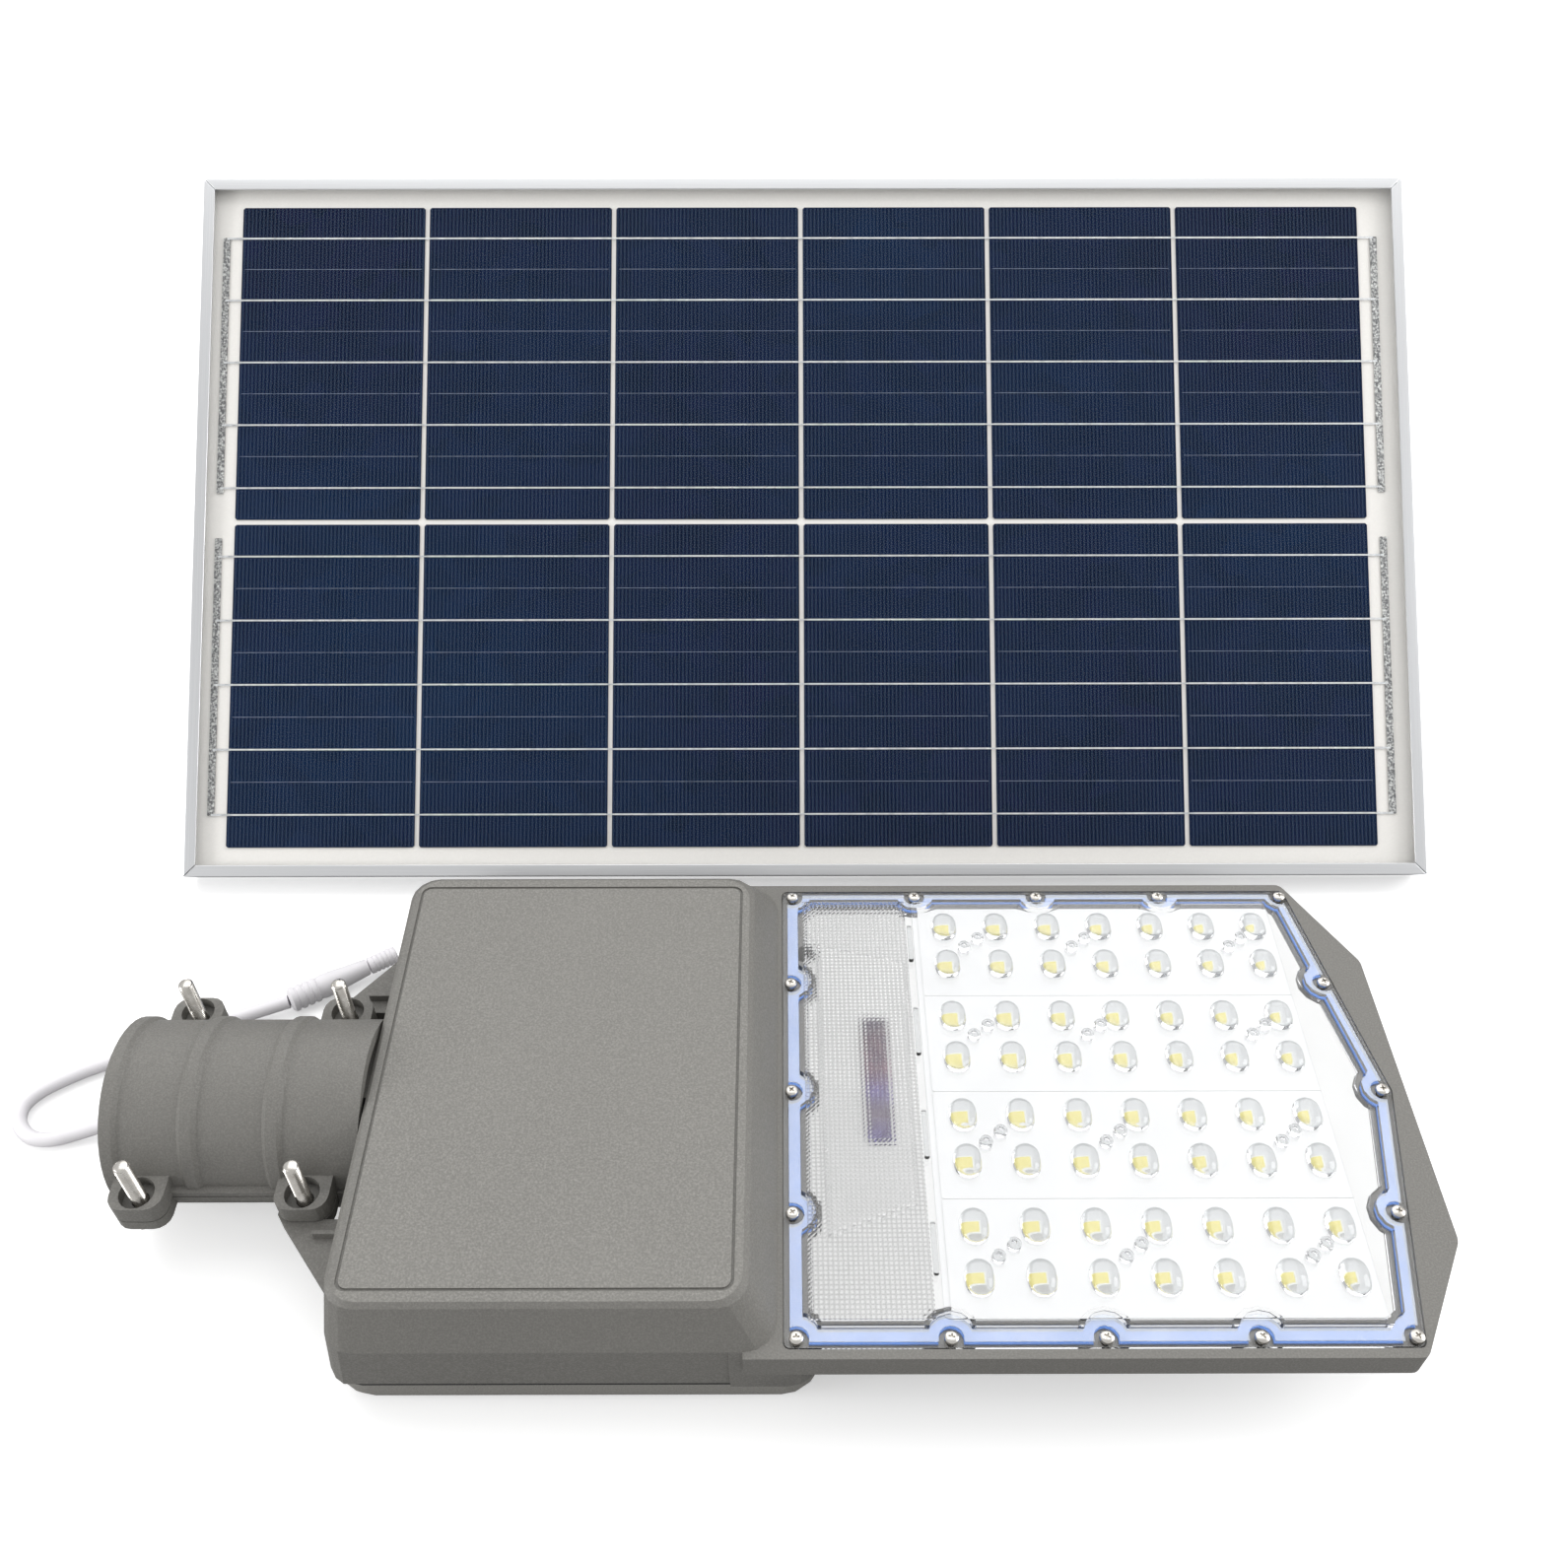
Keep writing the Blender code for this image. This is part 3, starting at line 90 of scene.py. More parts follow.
# lead and connector, in the frame's own metres
LEAD_D = 0.0062
GLAND_Z = 0.030
LEAD_ROUTE = (
    (-0.1062, 0.0000, 0.0300), (-0.1150, 0.0000, 0.0292), (-0.1260, 0.0005, 0.0235),
    (-0.1370, 0.0015, 0.0165), (-0.1490, 0.0035, 0.0118), (-0.1620, 0.0060, 0.0109),
    (-0.1740, 0.0082, 0.0116), (-0.1850, 0.0105, 0.0122), (-0.1960, 0.0130, 0.0099),
    (-0.2075, 0.0132, 0.0064), (-0.2190, 0.0105, 0.0042), (-0.2300, 0.0075, 0.0035),
    (-0.2393, 0.0085, 0.0035), (-0.2464, 0.0150, 0.0035), (-0.2478, 0.0235, 0.0035),
    (-0.2425, 0.0315, 0.0035), (-0.2300, 0.0400, 0.0035), (-0.2150, 0.0475, 0.0035),
    (-0.1950, 0.0580, 0.0035), (-0.1760, 0.0665, 0.0037), (-0.1610, 0.0715, 0.0048),
    (-0.1468, 0.0763, 0.0061),
)
PLUG_START = Vector((-0.1465, 0.0765, 0.0062))
PLUG_END = Vector((-0.1030, 0.1035, 0.0062))
PLUG_AXIS = (PLUG_END - PLUG_START).normalized()

# solar panel, in its own frame: x across, y up the slope, z out of the glass
PANEL_TILT = math.radians(40.55)
PANEL_AT = Vector((0.086, 0.1458, 0.016 * math.cos(PANEL_TILT)))
PANEL = Matrix.Translation(PANEL_AT) @ Matrix.Rotation(PANEL_TILT, 4, "X")
CELL_W, CELL_H, CELL_PITCH = 0.0910, 0.15875, 0.0932
CELL_LEFT = -0.2800
ROW_MIDDLE = {"lower": 0.093375, "upper": 0.254625}
CELL_TOP = -0.0048
RIBBONS = 5

SMOOTH = math.radians(35)


# ---------------------------------------------------------------- working on a mesh
def only(ob):
    """Leave just this object selected and active."""
    if bpy.context.object and bpy.context.object.mode != "OBJECT":
        bpy.ops.object.mode_set(mode="OBJECT")
    bpy.ops.object.select_all(action="DESELECT")
    ob.select_set(True)
    bpy.context.view_layer.objects.active = ob
    return ob


def fresh():
    """Nothing selected, so that a new primitive stands alone."""
    bpy.ops.object.select_all(action="DESELECT")


def edit(ob, select="SELECT"):
    only(ob)
    bpy.ops.object.mode_set(mode="EDIT")
    bpy.ops.mesh.select_all(action=select)


def leave():
    bpy.ops.object.mode_set(mode="OBJECT")
    return bpy.context.object


def named(ob, name):
    ob.name = name
    ob.data.name = name
    return ob


def place(ob, matrix):
    """Move a piece by a matrix and leave that in its mesh."""
    ob.matrix_world = matrix @ ob.matrix_world
    only(ob)
    bpy.ops.object.transform_apply(location=True, rotation=True, scale=True)
    return ob


def facing(axis, start):
    return Matrix.Translation(start) @ Vector(axis).to_track_quat("Z", "Y").to_matrix().to_4x4()


def modify(ob, kind, **settings):
    """Add a modifier with these settings and apply it."""
    only(ob)
    step = ob.modifiers.new(kind.title(), kind)
    for key, value in settings.items():
        setattr(step, key, value)
    bpy.ops.object.modifier_apply(modifier=step.name)
    return ob


def soften(ob, width, segments=2, angle=32):
    """Round the edges sharper than an angle, and let broad faces keep their own normals."""
    modify(ob, "BEVEL", width=width, segments=segments, limit_method="ANGLE",
           angle_limit=math.radians(angle), miter_outer="MITER_SHARP")
    only(ob)
    bpy.ops.object.shade_smooth_by_angle(angle=math.radians(angle + 3))
    return modify(ob, "WEIGHTED_NORMAL", keep_sharp=True, weight=80)


def carve(ob, cutter, operation="DIFFERENCE"):
    modify(ob, "BOOLEAN", operation=operation, solver="EXACT", object=cutter)
    bpy.data.objects.remove(cutter, do_unlink=True)
    return ob


def joined(obs, name):
    fresh()
    for ob in obs:
        ob.select_set(True)
    bpy.context.view_layer.objects.active = obs[0]
    if len(obs) > 1:
        bpy.ops.object.join()
    return named(bpy.context.object, name)


def twin(ob, matrix, name):
    """A copy with its own mesh, moved by a matrix."""
    copy = ob.copy()
    copy.data = ob.data.copy()
    bpy.context.scene.collection.objects.link(copy)
    copy.data.transform(matrix)
    return named(copy, name)


def cad_copy(node, name):
    """A frame node's mesh as a new piece, its loose triangles merged and flat faces made whole."""
    ob = bpy.data.objects.new(name, NODES[node].data.copy())
    bpy.context.scene.collection.objects.link(ob)
    edit(ob)
    bpy.ops.mesh.remove_doubles(threshold=0.00002)
    bpy.ops.mesh.dissolve_limited(angle_limit=math.radians(1.0))
    return leave()


def plate(outline, z0, z1):
    """A flat outline given as (x, y) points, raised from z0 to z1."""
    fresh()
    bpy.ops.mesh.primitive_circle_add(vertices=len(outline), radius=0.01, fill_type="NGON")
    ob = bpy.context.object
    for vertex, (x, y) in zip(ob.data.vertices, outline):
        vertex.co = (x, y, z0)
    edit(ob)
    bpy.ops.mesh.extrude_region_move(TRANSFORM_OT_translate={"value": (0, 0, z1 - z0)})
    bpy.ops.mesh.select_all(action="SELECT")
    bpy.ops.mesh.normals_make_consistent(inside=False)
    return leave()


def turned(rings, sides=32):
    """A body turned about Z: (radius, height) rings, each drawn out of the one before."""
    fresh()
    bpy.ops.mesh.primitive_circle_add(vertices=sides, radius=rings[0][0], fill_type="NGON",
                                      location=(0, 0, rings[0][1]))
    ob = bpy.context.object
    bpy.ops.object.transform_apply(location=True)
    edit(ob)
    for (r0, h0), (r1, h1) in zip(rings, rings[1:]):
        bpy.ops.mesh.extrude_region_move(TRANSFORM_OT_translate={"value": (0, 0, h1 - h0)})
        bpy.ops.transform.resize(value=(r1 / r0, r1 / r0, 1), center_override=(0, 0, 0))
    bpy.ops.mesh.select_all(action="SELECT")
    bpy.ops.mesh.normals_make_consistent(inside=False)
    return leave()


def corner_arc(x, y, radius, start, steps):
    return [(x + radius * math.cos(math.radians(start + 90 * k / steps)),
             y + radius * math.sin(math.radians(start + 90 * k / steps))) for k in range(steps + 1)]


def rectangle(x0, x1, y0, y1, radius, steps=5):
    outline = []
    for x, y, start in ((x1 - radius, y1 - radius, 0), (x0 + radius, y1 - radius, 90),
                        (x0 + radius, y0 + radius, 180), (x1 - radius, y0 + radius, 270)):
        outline += corner_arc(x, y, radius, start, steps)
    return outline


def oval(x, y, half_x, half_y, count=28):
    return [(x + half_x * math.cos(2 * math.pi * k / count), y + half_y * math.sin(2 * math.pi * k / count))
            for k in range(count)]


def wear(ob, materials, body, replaces=()):
    """Give a finished piece its material and the body that it rides on, and hide the frame nodes it stands for."""
    ob.data.materials.clear()
    for mat in materials if isinstance(materials, (list, tuple)) else [materials]:
        ob.data.materials.append(mat)
    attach(ob, body)
    if replaces:
        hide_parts(*replaces)
    return ob


def dress(node, mat):
    """A better material for a frame node that stays."""
    for i in range(len(NODES[node].data.materials)):
        NODES[node].data.materials[i] = mat
    if not NODES[node].data.materials:
        NODES[node].data.materials.append(mat)


# ---------------------------------------------------------------- shader groups
def new_group(name, inputs, outputs):
    tree = bpy.data.node_groups.new(name, "ShaderNodeTree")
    for label, kind, default in inputs:
        socket = tree.interface.new_socket(label, in_out="INPUT", socket_type=kind)
        if default is not None:
            socket.default_value = default
    for label, kind in outputs:
        tree.interface.new_socket(label, in_out="OUTPUT", socket_type=kind)
    return tree, tree.nodes.new("NodeGroupInput"), tree.nodes.new("NodeGroupOutput")


def add(tree, kind, **values):
    """A new node; keys that are sockets set their defaults, the rest set the node's own settings."""
    node = tree.nodes.new("ShaderNode" + kind)
    for key, value in values.items():
        if hasattr(node, key):
            setattr(node, key, value)
        else:
            node.inputs[key.replace("_", " ")].default_value = value
    return node


def ramp(tree, factor, stops):
    node = add(tree, "ValToRGB")
    ends = node.color_ramp.elements
    while len(ends) < len(stops):
        ends.new(0.5)
    for end, (at, colour) in zip(ends, stops):
        end.position = at
        end.color = colour if len(colour) == 4 else (*colour, 1)
    tree.links.new(factor, node.inputs["Fac"])
    return node.outputs["Color"]


def grey(value):
    return (value, value, value, 1)


def scaled(tree, vector, size):
    """The coordinates counted in steps of a size socket."""
    inverse = add(tree, "Math", operation="DIVIDE")
    inverse.inputs[0].default_value = 1.0
    tree.links.new(size, inverse.inputs[1])
    step = add(tree, "VectorMath", operation="SCALE")
    tree.links.new(vector, step.inputs[0])
    tree.links.new(inverse.outputs[0], step.inputs["Scale"])
    return step.outputs["Vector"]


def grain_group():
    """Fine cast or moulded grain: a height, and a mask of its pale flecks."""
    tree, start, end = new_group("surface_grain", (("Vector", "NodeSocketVector", None),
                                                   ("Size", "NodeSocketFloat", 0.001)),
                                 (("Height", "NodeSocketFloat"), ("Flecks", "NodeSocketFloat")))
    at = scaled(tree, start.outputs["Vector"], start.outputs["Size"])
    noise = add(tree, "TexNoise", Scale=1.0, Detail=3.0, Roughness=0.65)
    tree.links.new(at, noise.inputs["Vector"])
    cells = add(tree, "TexVoronoi", Scale=1.15, feature="F1")
    tree.links.new(at, cells.inputs["Vector"])
    flecks = add(tree, "MapRange", From_Min=0.42, From_Max=0.72)
    tree.links.new(noise.outputs["Fac"], flecks.inputs["Value"])
    mix = add(tree, "Math", operation="MULTIPLY_ADD")
    mix.inputs[1].default_value = -0.55
    tree.links.new(cells.outputs["Distance"], mix.inputs[0])
    tree.links.new(noise.outputs["Fac"], mix.inputs[2])
    tree.links.new(mix.outputs[0], end.inputs["Height"])
    tree.links.new(flecks.outputs["Result"], end.inputs["Flecks"])
    return tree


def mottle_group():
    """Slow drift of tone over a surface, between 0 and 1."""
    tree, start, end = new_group("slow_mottle", (("Vector", "NodeSocketVector", None),
                                                 ("Size", "NodeSocketFloat", 0.05)),
                                 (("Tone", "NodeSocketFloat"),))
    at = scaled(tree, start.outputs["Vector"], start.outputs["Size"])
    noise = add(tree, "TexNoise", Scale=1.0, Detail=4.0, Roughness=0.55)
    tree.links.new(at, noise.inputs["Vector"])
    spread = add(tree, "MapRange", From_Min=0.3, From_Max=0.7)
    tree.links.new(noise.outputs["Fac"], spread.inputs["Value"])
    tree.links.new(spread.outputs["Result"], end.inputs["Tone"])
    return tree


def brushed_group():
    """Drawn or brushed metal: fine lines along one direction."""
    tree, start, end = new_group("brushed_lines", (("Vector", "NodeSocketVector", None),
                                                   ("Stretch", "NodeSocketVector", (60, 2500, 2500))),
                                 (("Lines", "NodeSocketFloat"),))
    stretch = add(tree, "VectorMath", operation="MULTIPLY")
    tree.links.new(start.outputs["Vector"], stretch.inputs[0])
    tree.links.new(start.outputs["Stretch"], stretch.inputs[1])
    noise = add(tree, "TexNoise", Scale=1.0, Detail=2.0, Roughness=0.5)
    tree.links.new(stretch.outputs["Vector"], noise.inputs["Vector"])
    tree.links.new(noise.outputs["Fac"], end.inputs["Lines"])
    return tree


GROUPS = {}


def group(tree, name, **values):
    if name not in GROUPS:
        GROUPS[name] = {"grain": grain_group, "mottle": mottle_group, "brushed": brushed_group}[name]()
    node = tree.nodes.new("ShaderNodeGroup")
    node.node_tree = GROUPS[name]
    for key, value in values.items():
        node.inputs[key].default_value = value
    return node


class Finish:
    """A material under way: its tree, its shader and its object coordinates."""

    def __init__(self, name, **plain):
        self.mat = bpy.data.materials.new(name)
        self.mat.use_nodes = True
        self.tree = self.mat.node_tree
        self.shader = self.tree.nodes["Principled BSDF"]
        self.at = add(self.tree, "TexCoord").outputs["Object"]
        for key, value in plain.items():
            self.shader.inputs[key.replace("_", " ")].default_value = value

    def link(self, out, socket):
        self.tree.links.new(out, self.shader.inputs[socket])

    def effect(self, name, vector=None, **values):
        node = group(self.tree, name, **values)
        self.tree.links.new(vector or self.at, node.inputs["Vector"])
        return node.outputs

    def blend(self, factor, low, high):
        """Colour between two, by a factor; each end is a colour or a socket."""
        node = add(self.tree, "Mix", data_type="RGBA")
        self.tree.links.new(factor, node.inputs["Factor"])
        for socket, value in ((node.inputs[6], low), (node.inputs[7], high)):
            if isinstance(value, bpy.types.NodeSocket):
                self.tree.links.new(value, socket)
            else:
                socket.default_value = (*value[:3], 1)
        return node.outputs[2]

    def between(self, factor, low, high):
        node = add(self.tree, "MapRange", To_Min=low, To_Max=high)
        self.tree.links.new(factor, node.inputs["Value"])
        return node.outputs["Result"]

    def bump(self, height, strength, distance, over=None):
        node = add(self.tree, "Bump", Strength=strength, Distance=distance)
        self.tree.links.new(height, node.inputs["Height"])
        if over:
            self.tree.links.new(over, node.inputs["Normal"])
        self.link(node.outputs["Normal"], "Normal")
        return node.outputs["Normal"]


def shade(colour, factor):
    return tuple(min(1.0, c * factor) for c in colour[:3])


def let_light_through(finish):
    """Lamps shine through a clear piece, as thin clear plastic and glass do."""
    tree = finish.tree
    path = add(tree, "LightPath")
    either = add(tree, "Math", operation="MAXIMUM")
    tree.links.new(path.outputs["Is Shadow Ray"], either.inputs[0])
    tree.links.new(path.outputs["Is Diffuse Ray"], either.inputs[1])
    mix = add(tree, "MixShader")
    clear = add(tree, "BsdfTransparent")
    out = tree.nodes["Material Output"]
    tree.links.new(either.outputs[0], mix.inputs[0])
    tree.links.new(finish.shader.outputs[0], mix.inputs[1])
    tree.links.new(clear.outputs[0], mix.inputs[2])
    tree.links.new(mix.outputs[0], out.inputs["Surface"])


# ---------------------------------------------------------------- finishes
FINISHES = {}


def finish(name):
    if name not in FINISHES:
        FINISHES[name] = MAKERS[name]().mat
    return FINISHES[name]


def paint(name, size, depth, contrast, roughness, lift=1.0):
    # A lift above 1 makes a lighter copy of the one paint, which is painted light.
    base = shade(bpy.context.scene.lamp_looks.paint, lift)
    made = Finish(name, Specular_IOR_Level=0.42)
    grain = made.effect("grain", Size=size)
    tone = made.effect("mottle", Size=0.09)["Tone"]
    dark = made.blend(tone, shade(base, 0.93 - contrast), shade(base, 1.0 - contrast))
    made.link(made.blend(grain["Flecks"], dark, shade(base, 1.0 + contrast)), "Base Color")
    made.link(made.between(grain["Flecks"], roughness + 0.06, roughness - 0.10), "Roughness")
    made.bump(grain["Height"], 0.75, depth)
    return made


def cast_paint():
    return paint("cast_grey_paint", 0.00070, 0.00010, 0.13, 0.50)


def cover_paint_lit_band():
    # The housing paint lifted by 1.55: painted light, the cover's band below the box made lighter as its lit top
    # looks.
    return paint("cover_grey_paint_lit", 0.00070, 0.00010, 0.13, 0.46, 1.55)


def coarse_paint_lit_top():
    # The face's coarser grain, in the housing paint lifted by 1.22: painted light, the top face made lighter as the
    # light from above makes it.
    return paint("coarse_grey_texture_lit_top", 0.00085, 0.00022, 0.17, 0.50, 1.22)


def zinc_steel():
    made = Finish("zinc_plated_steel", Metallic=1.0)
    tone = made.effect("mottle", Size=0.004)["Tone"]
    made.link(made.blend(tone, (0.56, 0.53, 0.49), (0.74, 0.72, 0.68)), "Base Color")
    made.link(made.between(tone, 0.34, 0.20), "Roughness")
    return made


def galvanised_steel():
    made = Finish("galvanised_steel", Metallic=1.0)
    spangle = add(made.tree, "TexVoronoi", Scale=160.0, feature="F1")
    made.tree.links.new(made.at, spangle.inputs["Vector"])
    tone = ramp(made.tree, spangle.outputs["Color"], ((0.15, grey(0.40)), (0.85, grey(0.62))))
    made.link(tone, "Base Color")
    made.link(made.between(made.effect("grain", Size=0.0012)["Flecks"], 0.48, 0.34), "Roughness")
    return made


def anodised(name, stretch):
    made = Finish(name, Metallic=1.0)
    lines = made.effect("brushed", Stretch=stretch)["Lines"]
    made.link(made.blend(lines, (0.70, 0.71, 0.73), (0.86, 0.87, 0.88)), "Base Color")
    made.link(made.between(lines, 0.40, 0.24), "Roughness")
    made.bump(lines, 0.12, 0.00002)
    return made


def anodised_across():
    return anodised("anodised_rail_across", (25, 2600, 2600))


def anodised_upright():
    return anodised("anodised_rail_upright", (2600, 25, 25))


def black_rubber():
    made = Finish("black_rubber")
    grain = made.effect("grain", Size=0.0007)
    made.link(made.blend(grain["Flecks"], (0.010, 0.010, 0.011), (0.030, 0.030, 0.031)), "Base Color")
    made.link(made.between(grain["Flecks"], 0.75, 0.55), "Roughness")
    made.bump(grain["Height"], 0.4, 0.00005)
    return made


def black_plastic():
    made = Finish("black_moulded_plastic")
    grain = made.effect("grain", Size=0.0011)
    made.link(made.blend(grain["Flecks"], (0.012, 0.012, 0.013), (0.032, 0.032, 0.034)), "Base Color")
    made.link(made.between(grain["Flecks"], 0.52, 0.38), "Roughness")
    made.bump(grain["Height"], 0.5, 0.00008)
    return made


def blue_silicone():
    base = bpy.context.scene.lamp_looks.gasket
    made = Finish("blue_silicone", Specular_IOR_Level=0.5)
    tone = made.effect("mottle", Size=0.012)["Tone"]
    made.link(made.blend(tone, shade(base, 0.85), shade(base, 1.12)), "Base Color")
    made.link(made.between(tone, 0.50, 0.36), "Roughness")
    return made


def white_board():
    base = bpy.context.scene.lamp_looks.board
    made = Finish("white_solder_mask")
    tone = made.effect("mottle", Size=0.02)["Tone"]
    made.link(made.blend(tone, shade(base, 0.96), base), "Base Color")
    made.link(made.between(tone, 0.48, 0.34), "Roughness")
    return made


def chip_body():
    made = Finish("led_package")
    tone = made.effect("mottle", Size=0.0015)["Tone"]
    made.link(made.blend(tone, (0.80, 0.79, 0.74), (0.90, 0.89, 0.84)), "Base Color")
    made.link(made.between(tone, 0.45, 0.30), "Roughness")
    return made


def phosphor():
    made = Finish("led_phosphor", Specular_IOR_Level=0.5)
    grain = made.effect("grain", Size=0.0003)["Flecks"]
    made.link(made.blend(grain, (0.86, 0.74, 0.16), (0.95, 0.86, 0.28)), "Base Color")
    made.link(made.between(grain, 0.42, 0.30), "Roughness")
    return made


def window_strip():
    """The receiver's dark window, which turns from grey through plum to violet along its length."""
    made = Finish("receiver_window")
    split = add(made.tree, "SeparateXYZ")
    made.tree.links.new(made.at, split.inputs[0])
    along = add(made.tree, "MapRange", From_Min=0.034, From_Max=-0.022)
    made.tree.links.new(split.outputs["Y"], along.inputs["Value"])
    colour = ramp(made.tree, along.outputs["Result"], (
        (0.0, (0.10, 0.10, 0.11)), (0.25, (0.20, 0.09, 0.11)), (0.45, (0.26, 0.12, 0.17)),
        (0.62, (0.17, 0.13, 0.38)), (0.80, (0.24, 0.19, 0.24)), (1.0, (0.16, 0.13, 0.40))))
    tone = made.effect("mottle", Size=0.006)["Tone"]
    made.link(made.blend(tone, colour, (0.10, 0.08, 0.12)), "Base Color")
    made.link(made.between(tone, 0.30, 0.15), "Roughness")
    return made


def clear_plastic(name, tint, rough=0.015):
    made = Finish(name, Transmission_Weight=1.0, IOR=1.45)
    tone = made.effect("mottle", Size=0.03)["Tone"]
    made.link(made.blend(tone, shade(tint, 0.985), tint), "Base Color")
    made.link(made.between(tone, rough, rough + 0.035), "Roughness")
    let_light_through(made)
    return made


def clear_cover():
    return clear_plastic("clear_polycarbonate", (0.985, 0.99, 1.0))


def clear_dome():
    # The grey tint darkens the domes, bosses and tabs as their shade does: painted shade.
    return clear_plastic("grey_tinted_polycarbonate", (0.80, 0.81, 0.815), 0.01)


def flange_bead_sheen():
    """The flange's bead, part clear and part white: the white is a painted highlight along the flange."""
    made = Finish("flange_bead_painted_sheen", Transmission_Weight=0.74, IOR=1.40)
    tone = made.effect("mottle", Size=0.02)["Tone"]
    made.link(made.blend(tone, (0.80, 0.86, 0.95), (0.93, 0.96, 1.0)), "Base Color")
    made.link(made.between(tone, 0.10, 0.22), "Roughness")
    let_light_through(made)
    return made


def prism_plastic():
    """Clear plastic with grey painted along the pyramids' valleys: painted shade."""
    made = clear_plastic("prismatic_polycarbonate_shaded_valleys", (0.97, 0.97, 0.97))
    tree = made.tree
    split = add(tree, "SeparateXYZ")
    tree.links.new(made.at, split.inputs[0])
    masks = []
    for axis, start in (("X", PRISM_FIELD[0]), ("Y", -PRISM_FIELD[2])):
        offset = add(tree, "Math", operation="SUBTRACT")
        offset.inputs[1].default_value = start
        tree.links.new(split.outputs[axis], offset.inputs[0])
        masks.append(stripes(tree, offset.outputs[0], 0.0018, 0.0009, 0.6))
    valley_shade = add(tree, "Math", operation="MAXIMUM")
    for socket, mask in zip(valley_shade.inputs, masks):
        tree.links.new(mask, socket)
    # Grey on the valley lines is painted shade, where the pyramids' valleys fall dark.
    made.link(made.blend(valley_shade.outputs[0], (0.97, 0.97, 0.97), (0.70, 0.70, 0.70)), "Base Color")
    return made


def panel_glass():
    made = Finish("pebbled_solar_glass", Transmission_Weight=1.0, IOR=1.12, Base_Color=(0.99, 1.0, 1.0, 1))
    grain = made.effect("grain", Size=0.0016)
    made.link(made.between(grain["Flecks"], 0.0, 0.02), "Roughness")
    made.bump(grain["Height"], 0.03, 0.00004)
    let_light_through(made)
    return made


def panel_space(made):
    """Coordinates in the panel's own frame, x across and y up the slope."""
    turn = add(made.tree, "Mapping", vector_type="TEXTURE")
    turn.inputs["Location"].default_value = PANEL_AT
    turn.inputs["Rotation"].default_value = (PANEL_TILT, 0, 0)
    made.tree.links.new(made.at, turn.inputs["Vector"])
    return turn.outputs["Vector"]


def stripes(tree, value, pitch, width, soft=0.15):
    """A mask that is 1 on lines of a width, one every pitch."""
    wave = add(tree, "Math", operation="PINGPONG")
    wave.inputs[1].default_value = pitch / 2
    tree.links.new(value, wave.inputs[0])
    edge = add(tree, "MapRange", From_Min=width / 2 * (1 + soft), From_Max=width / 2 * (1 - soft))
    tree.links.new(wave.outputs[0], edge.inputs["Value"])
    return edge.outputs["Result"]


def silicon():
    """Polycrystalline cell: crystals in navy, with the fine printed fingers; the dashed tie lines are pieces of their
    own.
    """
    base = bpy.context.scene.lamp_looks.cell
    made = Finish("polycrystalline_silicon", Specular_IOR_Level=0.05)
    tree = made.tree
    at = panel_space(made)
    crystal = add(tree, "TexVoronoi", Scale=95.0, feature="F1", Randomness=1.0)
    warp = made.effect("mottle", vector=at, Size=0.03)["Tone"]
    tree.links.new(at, crystal.inputs["Vector"])
    hue = add(tree, "SeparateColor")
    tree.links.new(crystal.outputs["Color"], hue.inputs[0])
    slow = made.effect("mottle", vector=at, Size=0.22)["Tone"]
    plum = made.blend(hue.outputs[0], shade(base, 0.50), (base[0] * 1.3, base[1] * 0.55, base[2] * 0.90))
    blue = made.blend(hue.outputs[0], (base[0] * 0.55, base[1] * 1.25, base[2] * 1.15),
                      (base[0] * 0.7, base[1] * 1.9, base[2] * 1.65))
    body = made.blend(slow, plum, blue)
    body = made.blend(made.between(warp, 0.0, 0.35), body, shade(base, 1.5))
    split = add(tree, "SeparateXYZ")
    tree.links.new(at, split.inputs[0])
    fingers = stripes(tree, split.outputs["X"], 0.00186, 0.00070, 0.9)
    lines = made.between(fingers, 0.0, 0.55)
    body = made.blend(lines, body, (0.045, 0.070, 0.120))
    made.link(body, "Base Color")
    made.link(made.between(hue.outputs[1], 0.48, 0.30), "Roughness")
    return made


def solder_ribbon():
    made = Finish("tinned_ribbon", Metallic=1.0)
    at = panel_space(made)
    spots = made.effect("mottle", vector=at, Size=0.0045)["Tone"]
    made.link(made.blend(spots, (0.52, 0.53, 0.55), (0.92, 0.92, 0.92)), "Base Color")
    made.link(made.between(spots, 0.50, 0.22), "Roughness")
    made.bump(spots, 0.5, 0.0002)
    return made


def bus_ribbon():
    """Flux-speckled bus bar."""
    made = Finish("speckled_bus_ribbon", Metallic=0.6)
    at = panel_space(made)
    spots = made.effect("grain", vector=at, Size=0.0011)
    made.link(made.blend(spots["Flecks"], (0.16, 0.16, 0.165), (0.86, 0.86, 0.84)), "Base Color")
    made.link(made.between(spots["Flecks"], 0.62, 0.35), "Roughness")
    made.bump(spots["Height"], 0.6, 0.0003)
    return made


def print_line():
    """The thin silver tie lines printed half-way between the ribbons."""
    made = Finish("printed_silver")
    tone = made.effect("mottle", vector=panel_space(made), Size=0.004)["Tone"]
    made.link(made.blend(tone, (0.10, 0.13, 0.20), (0.26, 0.30, 0.38)), "Base Color")
    made.link(made.between(tone, 0.6, 0.4), "Roughness")
    return made


def backsheet():
    base = bpy.context.scene.lamp_looks.backsheet
    made = Finish("white_backsheet")
    grain = made.effect("grain", Size=0.0012)
    made.link(made.blend(grain["Flecks"], shade(base, 0.97), base), "Base Color")
    made.link(made.between(grain["Flecks"], 0.70, 0.55), "Roughness")
    return made


